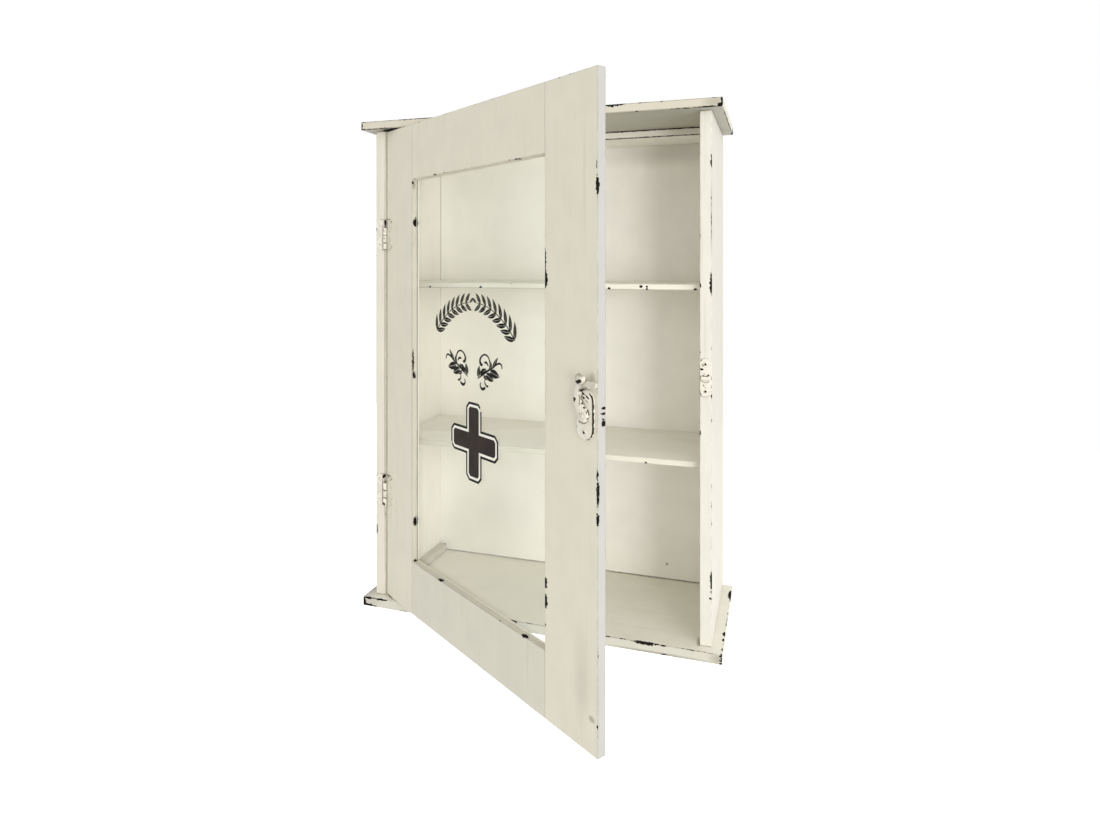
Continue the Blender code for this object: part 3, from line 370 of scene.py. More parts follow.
ways = {  # the directions that the painted face shades look along, in the model's frame
    "front": (0, -1, 0), "right": (1, 0, 0), "left": (-1, 0, 0), "under": (0, 0, -1), "up": (0, 0, 1),
    "doorFront": (math.sin(doorTurn), -math.cos(doorTurn), 0),
    "doorEdge": (math.cos(doorTurn), math.sin(doorTurn), 0),
}
# Each board's cream is the one cream paint made lighter on some boards and darker on others, and the
# tints change it again on faces that look a given way: painted light and shade for how the light falls on
# each board
caseBoards = {
    "top_board": {
        "cream": "#e2dcc9", "grain": 0, "rub": 0.57, "streaks": 0.15, "brush": 0.6, "line": 0.5,
        "faceShades": {"front": "#ccc6b4", "right": "#dad5c4", "left": "#dad5c4", "under": "#b9b7a9"},
        # Painted shade in the soil: the smudge at the front's right end, the darker underside inside and
        # the painted shadow above the open door's top; the two long lines run along the front's arrises
        "soilAndShade": [(210, -176.9, 590, 19, 4, 13), (150, -40, 584.5, 70, 45, 3),
            (-206, -120, 584.5, 16, 60, 3), (-176, -163, 584.5, 26, 13, 3),
            (0, -174.5, 584.5, 900, 2, 1.9), (0, -174.5, 594.6, 900, 1.8, 1.5)],
        "chips": [(-146, -174.5, 594.5, 27, 1.4, 1.1), (-190, -174.5, 594.7, 30, 0.8, 0.7),
            (100, -174.5, 594, 8.5, 1.8, 2.6), (109, -174.5, 594.4, 7, 1.2, 1.6),
            (130, -174.5, 594.7, 15, 0.7, 0.6), (-218.2, -174.5, 589.6, 1.8, 2.6, 5.8),
            (-216, -174.5, 584.8, 4, 1.6, 1.3), (-215, -174.5, 594.4, 5, 1.2, 0.9),
            # These two chips are painted shadow on the underside above the door's top
            (-186, -162, 584.5, 10, 8, 0.9), (-172, -169, 584.5, 16, 5, 0.9),
            (217.8, -174.5, 590, 1.5, 2.2, 6), (216, -174.5, 586.2, 3, 1.6, 2.4),
            (204, -174.5, 584.7, 15, 1.3, 1.1), (176, -174.5, 584.6, 14, 0.9, 0.6),
            (-196, -174.5, 584.6, 18, 1, 0.7), (218.5, -90, 584.5, 0.8, 70, 0.7),
            (218.3, -9, 586.4, 2.4, 8, 4)]},
    "base_board": {
        "cream": "#ebe8da", "grain": 0, "rub": 0.575, "streaks": 0.1, "brush": 0.4, "line": 0.55,
        "faceShades": {"front": "#ccc9ba", "right": "#dcd7c6", "left": "#d2cdbc", "under": "#cfc9b8"},
        # Painted shade in the soil: the patch where the right panel stands on the base; the left end of
        # the top and both ends of the front are darker, and the lines along the front's arrises are dirt
        "soilAndShade": [(-222, -128, 5.5, 36, 76, 5), (191.4, -151, 5.5, 3, 14, 3), (150, -171.5, -5, 75, 3, 3),
            (60, -171.5, 5.5, 170, 1.2, 1.2), (214, -173, 0, 14, 3, 10), (-205, -176.1, 0, 22, 6, 9)],
        "chips": [(-216.6, -171.5, 0.4, 3.6, 3, 6.4), (-210.4, -171.5, 4.8, 5.6, 1.8, 1.7),
            (-202.2, -171.5, 4.8, 2.6, 1.2, 1.1), (-193.4, -171.5, 4.9, 5.4, 1.6, 1.5),
            (-185.4, -171.5, 5.2, 2.4, 1.1, 0.9), (-209.6, -171.5, -4.5, 8, 1.8, 2.2),
            (-201.6, -171.5, -4.8, 3.4, 1.4, 1.6), (-217.8, -122, 5.4, 1.9, 54, 1.6),
            (192.9, -154, 5.5, 0.8, 7, 0.6), (-161, -171.5, -5.3, 7, 1.2, 1.1),
            (-27, -171.5, 4.9, 14, 1.8, 2.2), (135, -171.5, 4.6, 12.5, 2, 2.2),
            (148, -171.5, 5.2, 3.5, 1.2, 1.2), (155.7, -171.5, 5, 3.4, 1.2, 0.9),
            (156, -171.5, -4.6, 4, 1.2, 0.8), (92, -171.5, 5.4, 6, 0.9, 0.7),
            (110, -171.5, 5.4, 4, 0.9, 0.6), (190, -171.5, 5.4, 20, 0.7, 0.5),
            (216.6, -171.5, 4.2, 2.2, 2, 1.9), (217, -171.5, 1, 1.6, 1.6, 1.2),
            (216.6, -171.5, -1.6, 1.9, 1.8, 1.4), (216.4, -171.5, -4.8, 2.4, 1.6, 1.2),
            (217.2, -160, 5.2, 0.9, 5, 0.9), (217, -140, 5.2, 1.7, 3.6, 1.8), (217, -127, 5, 2, 5.2, 2.2),
            (217.4, -104, 5.3, 0.9, 4, 1.1), (217.4, -76, 5.3, 0.7, 5, 0.9),
            (217.5, -120, -5.2, 1.2, 12, 0.9), (217.4, -28, 4.4, 3.2, 14, 3.8)]},
    "left_side_panel": {
        "cream": "#efe9d8", "grain": 2, "rub": 0.68, "streaks": 0.2, "line": 0.35,
        "faceShades": {"front": "#dcd7c7", "left": "#ddd8c8", "right": "#ece8dc"},
        # The soil, and the chip at 469.6 on the next line, are painted shade: in the upper hinge's notch
        # and down the gap beside the door
        "soilAndShade": [(-194.4, -160, 471, 3.4, 3, 4.5), (-194, -160, 300, 0.9, 3, 330)],
        "chips": [(-205.6, -160, 86.5, 1.4, 1.4, 6.5), (-192.8, -160, 469.6, 1.6, 2.8, 4.2),
            (-193.6, -160, 154.5, 1.5, 2.4, 2.6), (-205.9, -160, 463, 0.9, 1, 3.5),
            (-205.9, -160, 429, 0.9, 1, 1.6), (-205.8, -160, 154, 1.1, 1.2, 2.4),
            (-205.9, -160, 120, 0.9, 1, 1.8), (-205.8, -160, 102, 0.9, 1, 3)]},
    "right_side_panel": {
        "cream": "#f2eee1", "grain": 2, "rub": 0.585, "streaks": 0.2, "line": 0.35,
        "faceShades": {"front": "#dcd9cd", "right": "#d6d2c6"},
        "soilAndShade": [(205.8, -160, 470, 1.5, 1.9, 66)],
        "chips": [(205.6, -160, 529, 1, 1.4, 7.5), (205.4, -160, 397, 1.7, 2.4, 12.5),
            (205.8, -160, 460, 0.5, 0.6, 14), (205.4, -160, 76, 1.5, 1.8, 11.5),
            (204, -160, 57.8, 0.9, 1, 1)]},
    "back_panel": {
        "cream": "#f8f5ec", "grain": 2, "rub": 0.8, "streaks": 0.05, "brush": 0.25, "line": 0,
        # Painted shade in the soil: along the foot where the back meets the base, in the corner with the
        # left panel, the painted shadow under the rail, a darker lower left and a small spot low at the
        # right; the chip along the foot is the dark joint
        "soilAndShade": [(0, -8, 6, 900, 3, 1.6), (135, -8, 25.5, 2.6, 3, 2.6), (-193, -8, 480, 1.4, 3, 150),
            (130, -14, 566, 150, 9, 30), (-120, -16, 60, 125, 9.4, 105)],
        "chips": [(0, -8, 5.4, 900, 0.8, 0.9)]},
    "lower_shelf": {
        "cream": "#f1eee3", "grain": 0, "rub": 0.63, "streaks": 0.08, "brush": 0.4, "line": 0.2,
        "faceShades": {"front": "#dfdbca"},
        "chips": [(132.7, -148.5, 194.8, 1.5, 1.5, 1.5)]},
    "upper_shelf": {
        "cream": "#f4f1e6", "grain": 0, "rub": 0.63, "streaks": 0.08, "brush": 0.4, "line": 0.2,
        "faceShades": {"front": "#e3dfd0"},
        "soilAndShade": [(0, -148.5, 388.9, 900, 2, 1.6)],
        "chips": [(90, -148.5, 390.2, 1.9, 1.8, 1.7), (126.8, -148.5, 393.2, 1.8, 1.8, 1.7),
            (133.6, -148.5, 392.6, 1.4, 1.6, 1.3), (133.6, -148.5, 390, 1.6, 1.8, 1.5),
            (186.8, -148.5, 390.2, 1.9, 1.8, 1.7), (-137.1, -148.5, 389.8, 2, 1.8, 1.9),
            (-68.5, -148.5, 390.5, 2.2, 1.8, 1.6)]},
    "hanging_rail": {
        "cream": "#f0ece0", "grain": 0, "rub": 0.7, "streaks": 0.1, "line": 0,
        # The lighter underside, and the soil and chips along the rail's top and bottom edges, are painted
        # light and shade
        "faceShades": {"under": "#fffdf2"},
        "soilAndShade": [(0, -69, 584.2, 900, 2, 2), (0, -69, 574.8, 900, 1.6, 1.8)],
        "chips": [(0, -69, 584.3, 900, 1.3, 1.1), (0, -69, 574.8, 900, 1, 0.9)]},
    "left_base_cleat": {
        "cream": "#c3beac", "grain": 1, "rub": 0.66, "line": 0.3,
        "chips": [(-183, -12, 15, 2, 3, 1.6)]},
}
# The door's cream is darker than the case's, and its tint darkens its free edge: painted shade. Painted
# shade in the soil: down the gap at the hinge edge, in the upper hinge's notch, and the knob's painted
# shadow on the latch stile; the rest darkens the reveal, the opening's arrises and the lower right of the
# latch stile
doorBoard = {
    "cream": "#dcd7c4", "low": (0.001, 0.002615, 0.007), "high": (0.384, 0.011615, 0.583),
    "grain": 2, "door": True, "opening": ((0.065, 0.0685), (0.314, 0.518), 0.002615),
    "rub": 0.62, "streaks": 0.24, "brush": 0.55, "line": 0.3, "faceShades": {"doorEdge": "#b2b0aa"},
    "soilAndShade": [(0.8, 2.6, 295, 1, 3, 320), (376.5, 2.6, 37, 5, 2, 3.5), (364, 1, 66, 20, 2, 80),
        (377.5, 1.3, 323, 5.5, 2.2, 7), (2.5, 2.6, 471, 2.4, 2, 5), (63.6, 4.5, 441, 1.6, 2.6, 6),
        (64.5, 2.1, 293, 1.2, 1.2, 330), (190, 2.1, 68, 170, 1.2, 1.2), (65.2, 4.6, 511, 1.4, 2.8, 6)],
    # The first chip is painted shade in the upper hinge's notch
    "chips": [(1.8, 2.6, 469.6, 1.6, 1.4, 4), (383.6, 2.6, 483, 1.8, 2, 8),
        (382.8, 2.6, 502, 0.6, 0.8, 4), (384, 2.6, 228, 1.8, 2, 12), (383.4, 2.6, 244, 1, 1.2, 5),
        (384, 2.6, 206, 2, 2.2, 5.4), (8, 2.6, 7, 7.5, 1.4, 1.2), (384, 9.4, 297.4, 1.5, 2.6, 0.9),
        (384, 9, 293.2, 1.5, 3, 1.3), (384, 9, 288.6, 1.5, 1.8, 0.9), (384, 9.2, 284.6, 1.5, 3, 2.4),
        (314.2, 2.8, 422, 1.5, 1.8, 11), (314.4, 2.7, 405, 3.6, 2.4, 8.6), (315, 2.6, 130, 2.6, 2, 5.5),
        (315.2, 2.6, 113.5, 2.8, 2.2, 6.4), (65, 3.6, 514.5, 0.9, 1.6, 1.8),
        (65, 7.2, 467.5, 1.4, 3.6, 5.4), (65, 4, 304, 0.8, 1.4, 13), (65, 5, 287.5, 1, 2, 4.5),
        (65, 7.2, 115, 1.4, 3.6, 5.4), (66, 6.5, 69, 2, 2, 2), (118, 3.4, 518, 3.2, 2, 1.2),
        (138.7, 2.6, 518.6, 1, 1, 1), (272, 4.4, 518, 5, 2.4, 1.4), (129, 3.6, 68.5, 4.4, 2.6, 1.6),
        (283, 4, 68.5, 5, 2.2, 1.2)],
}


def boxOf(name):
    low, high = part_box(name)
    return tuple(low), tuple(high)


def dressDoor(name, nodeNames, changes):
    dress(nodeNames, paintedWood("paintedPine_" + name, {**doorBoard, **changes}))


for boardName, board in caseBoards.items():
    board["low"], board["high"] = boxOf(boardName)
    dress([boardName], paintedWood("paintedPine_" + boardName, board))
dressDoor("door", ["door_latch_stile", "door_top_rail"], {})
# The hinge stile's edge takes its own darker cream: painted shade
dressDoor("doorHingeStile", ["door_hinge_stile"], {"rub": 0.66, "faceShades": {"doorEdge": "#c6c2b1"}})
# The beads take a much lighter cream: painted light in the shade of the rebate
dressDoor("beads", ["top_bead", "bottom_bead", "left_bead", "right_bead"],
          {"cream": "#f8f5ea", "faceShades": {}})
# The bottom rail's edge, front and top take darker creams: painted shade
dressDoor("doorBottomRail", ["door_bottom_rail"], {"faceShades": {
    "doorEdge": "#b2b0aa", "doorFront": "#d3cfbe", "up": "#c9c5b4"}})
print("wood painted")


# Glass: clear float glass, faintly green, that shows a little of the room on its face

def floatGlass():
    material, tree = newMaterial("clearFloatGlass")
    through = add(tree, "BsdfTransparent", {0: (0.975, 0.985, 0.975, 1)})
    glossy = add(tree, "BsdfGlossy", {"Color": (1, 1, 1, 1), "Roughness": 0.03})
    # Share mirrored: 2 % head on, rising with the fifth power of the slant
    slant = add(tree, "Math", {0: add(tree, "LayerWeight", {"Blend": 0.5}, 1), 1: 5}, operation="POWER")
    share = add(tree, "Math", {0: slant, 1: 0.98, 2: 0.02}, operation="MULTIPLY_ADD")
    add(tree, "OutputMaterial", {0: add(tree, "MixShader", {0: share, 1: through, 2: glossy})})
    return material


dress(["door_glass"], floatGlass())
print("glass set")


# Shapes: every new piece is one or more grids of points, in millimetres of its own frame

frames = {"case": (np.zeros(3), 0), "pins": (pin, 0), "door": (pin, doorTurn)}
sharpAngle = math.radians(38)  # edges sharper than this stay sharp


def settle(points, frameName, shift):
    # Millimetres of a piece's frame to the model's metres: shift, turn about the upright, move
    origin, turn = frames[frameName]
    x, y, z = np.moveaxis((points + np.array(shift)) * mm, -1, 0)
    return np.stack([origin[0] + math.cos(turn) * x - math.sin(turn) * y,
                     origin[1] + math.sin(turn) * x + math.cos(turn) * y, z], axis=-1)


def gridFaces(rows, columns, closed):
    # Quads between neighbours: every row runs round, and the last row meets the first if closed
    i, j = np.meshgrid(np.arange(rows if closed else rows - 1), np.arange(columns), indexing="ij")
    here, below = i * columns, (i + 1) % rows * columns
    after = (j + 1) % columns
    return np.stack([here + j, here + after, below + after, below + j], axis=-1).reshape(-1, 4)


def grid(points, closed=False, caps=False, wearAndShade=0.0, grimeAndShade=0.0):
    shape = points.shape[:2]
    return {"points": points, "closed": closed, "caps": caps,
            "wearAndShade": np.broadcast_to(wearAndShade, shape), "grimeAndShade": np.broadcast_to(grimeAndShade, shape)}


def buildPiece(name, grids, material, place, body, replaced):
    # Joins the grids into one closed mesh, with its wear, grime and painted shade kept as attributes
    points, faces, start = [], [], 0
    for part in grids:
        rows, columns = part["points"].shape[:2]
        points.append(settle(part["points"], *place).reshape(-1, 3))
        faces += (gridFaces(rows, columns, part["closed"]) + start).tolist()
        if part["caps"]:
            faces.append((np.arange(columns)[::-1] + start).tolist())
            faces.append((np.arange(columns) + start + (rows - 1) * columns).tolist())
        start += rows * columns
    mesh = bpy.data.meshes.new(name)
    mesh.from_pydata(np.concatenate(points).tolist(), [], faces)
    for label in ("wearAndShade", "grimeAndShade"):
        values = np.concatenate([part[label].reshape(-1) for part in grids]).astype(np.float32)
        mesh.attributes.new(label, "FLOAT", "POINT").data.foreach_set("value", values)
    shell = bmesh.new()
    shell.from_mesh(mesh)
    bmesh.ops.remove_doubles(shell, verts=shell.verts, dist=2e-6)
    wide = [face for face in shell.faces if len(face.verts) > 4]
    bmesh.ops.triangulate(shell, faces=wide, ngon_method="EAR_CLIP")
    bmesh.ops.recalc_face_normals(shell, faces=shell.faces)
    shell.to_mesh(mesh)
    shell.free()
    mesh.shade_smooth()
    mesh.set_sharp_from_angle(angle=sharpAngle)
    mesh.materials.append(material)
    piece = addObject(name, mesh, (0, 0, 0))
    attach(piece, body)
    if replaced:
        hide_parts(*replaced)


def smoothPath(points, steps):
    # Catmull-Rom curve: through every point, its heading there along the line between neighbours
    p = np.asarray(points, float)
    p = np.vstack([2 * p[0] - p[1], p, 2 * p[-1] - p[-2]])
    t = np.linspace(0, 1, steps, endpoint=False)[None, :, None]
    a, b, c, d = (p[k:len(p) - 3 + k, None, :] for k in range(4))
    curve = 0.5 * (2 * b + (c - a) * t + (2 * a - 5 * b + 4 * c - d) * t ** 2
                   + (3 * b - a - 3 * c + d) * t ** 3)
    return np.vstack([curve.reshape(-1, p.shape[1]), p[-2]])


def sideways(path):
    # Unit vectors across a path of (x, z) points, to the left of its heading
    heading = np.gradient(path, axis=0)
    heading /= np.maximum(np.linalg.norm(heading, axis=1, keepdims=True), 1e-9)
    return np.stack([-heading[:, 1], heading[:, 0]], axis=1)


def roundEnds(path, half):
    # Half widths that run out in half circles at both ends
    step = np.linalg.norm(np.diff(path, axis=0), axis=1)
    along = np.concatenate([[0], np.cumsum(step)])
    near = np.minimum(along, along[-1] - along)
    reach = np.maximum(half, 1e-6)
    return half * np.sqrt(np.clip(1 - (1 - np.minimum(near / reach, 1)) ** 2, 0, 1))


def turned(profile, segments, axis="z", centre=(0, 0)):
    # A profile of (radius, height) rows carried round a line: the upright, or outward from a face
    profile = np.asarray(profile, float)
    angle = np.linspace(0, 2 * math.pi, segments, endpoint=False)
    across = centre[0] + profile[:, :1] * np.cos(angle)
    up = centre[1] + profile[:, :1] * np.sin(angle)
    height = np.broadcast_to(profile[:, 1:], across.shape)
    return np.stack([across, up, height] if axis == "z" else [across, -height, up], axis=-1)


# Print on the glass: black screen-printing enamel, thin, slightly glossy, with a cream inner line

printed = {
    "faceY": 8.215,  # the glass's front face, in door millimetres
    "thickness": 0.05,
    "sunk": 0.01,
    "ink": "#0b0907",
    "fill": "#231b17",
    "line": "#f1eee2",
    "scuff": "#d9d3c2",
}


def band(first, second, closed=False, thickness=printed["thickness"]):
    # A flat form on the glass between two lines of (x, z) points: rows of four, front and back
    near, far = (np.full(len(first), printed["faceY"] + d) for d in (-thickness, printed["sunk"]))
    rows = [np.column_stack([line[:, 0], level, line[:, 1]])
            for line, level in ((first, near), (second, near), (second, far), (first, far))]
    return grid(np.stack(rows, axis=1), closed=closed)


def stroke(points, steps=8, pointed=False):
    # A brush line of changing half width, given as (x, z, half width) points
    path = smoothPath(points, steps)
    half = np.maximum(path[:, 2], 0)
    if not pointed:
        half = roundEnds(path[:, :2], np.maximum(half, 0.05))
    side = sideways(path[:, :2]) * half[:, None]
    return band(path[:, :2] + side, path[:, :2] - side)


def leaf(x, z, heading, length, half, bend=0.0):
    # Two half blades with a bare vein between them: half width swells as a sine along the leaf
    t = np.linspace(0, 1, 9)
    swell = half * np.sin(math.pi * t ** 0.8) ** 0.9 / 2
    angle = heading + bend * (t - 0.3)
    ahead = np.stack([np.cos(angle), np.sin(angle)], axis=1) * length / 8
    middle = np.array([x, z]) + np.vstack([[0, 0], np.cumsum(ahead[:-1], axis=0)])
    across = sideways(middle) * (swell[:, None] + 0.12)
    return [stroke(np.column_stack([middle + hand * across, swell]), 3, pointed=True)
            for hand in (1, -1)]


def inkMaterial(name, colour, roughness, chips=()):
    # Screen-printing enamel: even, dense, a little glossy, with small pinholes and scuffs
    material, tree = newMaterial(name)
    own = ownPlace(tree, onDoor=True)
    grain = add(tree, "TexNoise", {"Vector": own, "Scale": 1 / (0.8 * mm), "Detail": 2})
    full = toLinear(colour)
    pale = darker(full, 1.7 if full[0] < 0.5 else 0.9)
    cloud = add(tree, "TexNoise", {"Vector": own, "Scale": 1 / (14 * mm), "Detail": 3})
    cloud = add(tree, "MapRange", {0: cloud, 1: 0.35, 2: 0.7})
    tone = add(tree, "Mix", {0: cloud, 6: full, 7: pale}, 2, data_type="RGBA")
    if chips:
        scuff = add(tree, "MapRange", {0: chipDistance(tree, own, chips), 1: 1.1, 2: 0.8})
        tone = add(tree, "Mix", {0: scuff, 6: tone, 7: printed["scuff"]}, 2, data_type="RGBA")
    sheen = add(tree, "MapRange", {0: grain, 3: roughness - 0.08, 4: roughness + 0.12})
    return finish(material, tone, sheen, grain, 0.6, 0.00002, {"IOR": 1.3, "Specular IOR Level": 0.25})


garland = {
    "centre": (186.8, 281),
    "radius": 97,
    "startDegrees": 50,  # each branch starts this far from the top and ends near it
    "endDegrees": 3.6,
    "pairs": 8,
    "leafLength": 18,
    "leafHalf": 2.6,
    "leafLean": 44,
    "stemHalf": 0.75,
    "berry": 1.3,
    "berryOut": 3.4,
}


def makeGarland():
    # Two laurel branches on an arc, leaves in pairs, with a berry between each pair
    k = garland
    start, end = math.radians(k["startDegrees"]), math.radians(k["endDegrees"])
    lean = math.radians(k["leafLean"])

    def onArc(hand, angle, radius=k["radius"]):
        return k["centre"][0] + hand * radius * np.sin(angle), k["centre"][1] + radius * np.cos(angle)

    parts = []
    for hand in (-1, 1):
        stem = onArc(hand, np.linspace(start, end, 15))
        parts.append(stroke(np.column_stack([*stem, np.linspace(1, 0.45, 15) * k["stemHalf"]]), 4))
        for step in range(k["pairs"]):
            share = (step + 0.15) / k["pairs"]
            angle = start + (end - start) * share
            ahead = math.atan2(math.sin(angle), -hand * math.cos(angle))
            size = 1 - 0.22 * share
            for side in (1, -1):
                parts += leaf(*onArc(hand, angle), ahead + side * lean, k["leafLength"] * size,
                              k["leafHalf"] * size, -side * 0.35)
            out = k["berryOut"] if step % 2 else -k["berryOut"]
            x, z = onArc(hand, angle + (end - start) * 0.5 / k["pairs"], k["radius"] + out)
            r = k["berry"]
            parts.append(stroke([(x - r, z, r), (x, z, r), (x + r, z, r)], 5))
        parts += leaf(*onArc(hand, end), math.pi - 0.6 if hand > 0 else 0.6, 9, 1.5)
    return parts


sprig = {
    "mirrorX": 186.2,
    "strokes": [
        [(144.6, 316.4, 0.5), (150, 313, 0.8), (158, 309.4, 1.1), (167, 304.6, 1), (177.4, 298.8, 0.5)],
        [(149.6, 312.4, 0.4), (144, 316.6, 0.9), (137.4, 319, 1), (133.6, 317.2, 0.9),
         (133, 313.6, 0.8)],
        [(155.6, 310.6, 0.7), (153.8, 316.6, 0.9), (156.6, 322.8, 1), (162.4, 325.4, 0.9),
         (168.8, 323.4, 1), (172.2, 318.8, 1.5), (170.6, 314.8, 1.8), (167, 314.6, 1)],
        [(156.6, 314, 0.6), (160, 317.2, 1.2), (164.6, 317.4, 0.9)],
        [(163, 300.8, 0.5), (163.2, 296.6, 0.9), (160.4, 293.8, 1), (157, 293.4, 1.3)],
        [(170.4, 296.2, 0.7), (171.8, 292.6, 0.9), (168.6, 289.6, 1.5), (164.2, 290.6, 1.4),
         (162.4, 292.8, 0.8)],
    ],
    "leaves": [  # x, z, heading in degrees, length, half width
        (150, 312.4, 129, 16, 2.1), (154, 309, 192, 17, 4.2), (161, 305.8, 203, 14.5, 4),
        (166.4, 303.4, 200, 9.5, 1.9), (160.4, 310.6, -26, 16, 2.6), (176, 301, 103, 12.5, 2.8),
        (170, 303.8, 118, 8.5, 1.8), (152.4, 312.4, 88, 7, 1.8),
    ],
}


def makeSprigs():
    # A leafy spray with a scroll, and its mirror image
    parts = []
    middle = sprig["mirrorX"]
    for hand in (1, -1):
        for points in sprig["strokes"]:
            parts.append(stroke([(middle + hand * (x - middle), z, half) for x, z, half in points], 6))
        for x, z, degrees, length, half in sprig["leaves"]:
            heading = math.radians(degrees if hand > 0 else 180 - degrees)
            parts += leaf(middle + hand * (x - middle), z, heading, length, half)
    return parts


cross = {
    "centre": (188.4, 231.6),
    "span": (44.6, 41.6),  # half across and half up
    "arm": (14.7, 14.1),
    "chamfer": 5.6,
    "rim": 2.5,
    "line": 2.6,
}


def crossOutline(inset):
    # The twelve corners of a cross, the eight outer ones cut off, moved in by inset all round
    (sx, sz), (ax, az) = np.array(cross["span"]) - inset, np.array(cross["arm"]) - inset
    c = max(cross["chamfer"] - 0.586 * inset, 0.8)
    quarter = [(sx, az - c), (sx - c, az), (ax, az), (ax, sz - c), (ax - c, sz)]
    corners = []
    for signX, signZ, order in ((1, 1, 1), (-1, 1, -1), (-1, -1, 1), (1, -1, -1)):
        corners += [(signX * x, signZ * z) for x, z in quarter][::order]
    return np.array(corners) + cross["centre"]


def crossBand(outer, inner):
    # The flat ring between two outlines of the cross
    return band(crossOutline(outer), crossOutline(inner), closed=True)


def crossFill(inset):
    # Rings from the outline in to the middle, front and back
    edge, middle = crossOutline(inset), np.array(cross["centre"])
    near, far = printed["faceY"] - printed["thickness"], printed["faceY"] + printed["sunk"]
    rows = []
    for share, depth in ((0, far), (1, far), (1, near), (0.5, near), (0, near)):
        ring = middle + (edge - middle) * share
        rows.append(np.column_stack([ring[:, 0], np.full(len(ring), depth), ring[:, 1]]))
    return grid(np.array(rows))


lap = {"low": (65.02, 68.52), "high": (313.98, 517.98), "width": 1.5, "thickness": 0.4}


def paintLap():
    # The coat runs a little over the glass all round: a ring, its inner edge wavy
    low, high = np.array(lap["low"]), np.array(lap["high"])
    corners = np.array([low, (high[0], low[1]), high, (low[0], high[1])])
    share = np.linspace(0, 1, 60, endpoint=False)[None, :, None]
    outer = (corners[:, None] + (np.roll(corners, -1, axis=0) - corners)[:, None] * share)
    outer = outer.reshape(-1, 2)
    step = np.arange(len(outer))
    width = lap["width"] + 0.12 * np.sin(step * 0.9) + 0.10 * np.sin(step * 2.3 + 1)
    inner = np.clip(outer, low + width[:, None], high - width[:, None])
    return band(outer, inner, True, lap["thickness"])


black = inkMaterial("blackScreenEnamel", printed["ink"], 0.42)
rimInk = inkMaterial("blackScreenEnamelRim", printed["ink"], 0.42,
                     [(201.6, 8.2, 267.5, 2, 3, 2.2), (144, 8.2, 223.2, 2, 3, 1.6)])
brownBlack = inkMaterial("brownBlackScreenEnamel", printed["fill"], 0.45)
creamInk = inkMaterial("creamScreenEnamel", printed["line"], 0.5)
glassPlace = ("door", (0, 0, 0))
crossIn = cross["rim"] + cross["line"]
for name, parts, ink in (
        ("printedGarland", makeGarland(), black),
        ("printedSprigs", makeSprigs(), black),
        ("printedCrossRim", [crossBand(0, cross["rim"])], rimInk),
        ("printedCrossLine", [crossBand(cross["rim"], crossIn)], creamInk),
        ("printedCrossFill", [crossFill(crossIn)], brownBlack)):
    buildPiece(name, parts, ink, glassPlace, "door", ())
lapPaint = paintedWood("paintedGlassEdge", {
    **doorBoard, "cream": "#dcd8c7", "rub": 0.9, "line": 0, "faceShades": {},
    "soilAndShade": [(190, 8, 66.4, 900, 3, 3.2)]})
buildPiece("paintLapOnGlass", [paintLap()], lapPaint, glassPlace, "door", ())
print("print on the glass laid")


# Painted ironwork: cast and pressed iron under the same cream paint, rubbed on rims

iron = {
    # The grey of the soil and of the painted shade
    "grimeAndShadeTone": "#8d8674",
    "metal": "#15110e",
    "rust": "#33241a",
    "cloudSize": 6,
    "rubSize": 2.6,
    "chipEdge": 1.4,
    "relief": 0.00014,
}


def paintedIron(name, cream, rub, onDoor=True):
    # Lumpy brushed coat, made grey where the attributes hold soil and painted shade, and down to rusty
    # black iron where they hold wear and black painted shade lines
    material, tree = newMaterial(name)
    own = ownPlace(tree, onDoor)
    wearAndShade, grimeAndShade = (add(tree, "Attribute", {}, 2, attribute_name=label) for label in ("wearAndShade", "grimeAndShade"))
    lumps = add(tree, "TexNoise", {"Vector": own, "Scale": 1 / (iron["rubSize"] * mm), "Detail": 5,
                                   "Roughness": 0.6})
    cloud = add(tree, "TexNoise", {"Vector": own, "Scale": 1 / (iron["cloudSize"] * mm), "Detail": 3})
    share = add(tree, "MapRange", {0: cloud, 1: 0.35, 2: 0.75})
    full = toLinear(cream)
    tone = add(tree, "Mix", {0: share, 6: full, 7: darker(full, 0.86)}, 2, data_type="RGBA")
    soilAndShade = add(tree, "Math", {0: grimeAndShade, 1: 0.45}, operation="MULTIPLY")
    soilAndShade = add(tree, "Math", {0: grimeAndShade, 1: lumps, 2: soilAndShade}, operation="MULTIPLY_ADD", use_clamp=True)
    tone = add(tree, "Mix", {0: soilAndShade, 6: tone, 7: iron["grimeAndShadeTone"]}, 2, data_type="RGBA")
    worn = add(tree, "Math", {0: wearAndShade, 1: 0.16}, operation="MULTIPLY")
    level = add(tree, "Math", {0: lumps, 1: worn}, operation="ADD")
    gone = add(tree, "MapRange", {0: level, 1: rub + 0.06, 2: rub + 0.10})
    metal = add(tree, "Mix", {0: share, 6: iron["metal"], 7: iron["rust"]}, 2, data_type="RGBA")
    colour = add(tree, "Mix", {0: gone, 6: tone, 7: metal}, 2, data_type="RGBA")
    sheen = add(tree, "MapRange", {0: lumps, 1: 0.3, 2: 0.7, 3: 0.34, 4: 0.52})
    gloss = add(tree, "MapRange", {0: gone, 3: 0.5, 4: 0.1})
    sunk = add(tree, "Math", {0: lumps, 1: 0.5}, operation="MULTIPLY")
    sunk = add(tree, "Math", {0: sunk, 1: gone}, operation="SUBTRACT")
    return finish(material, colour, sheen, sunk, 0.9, iron["relief"],
                  {"Specular IOR Level": gloss, "IOR": 1.5})


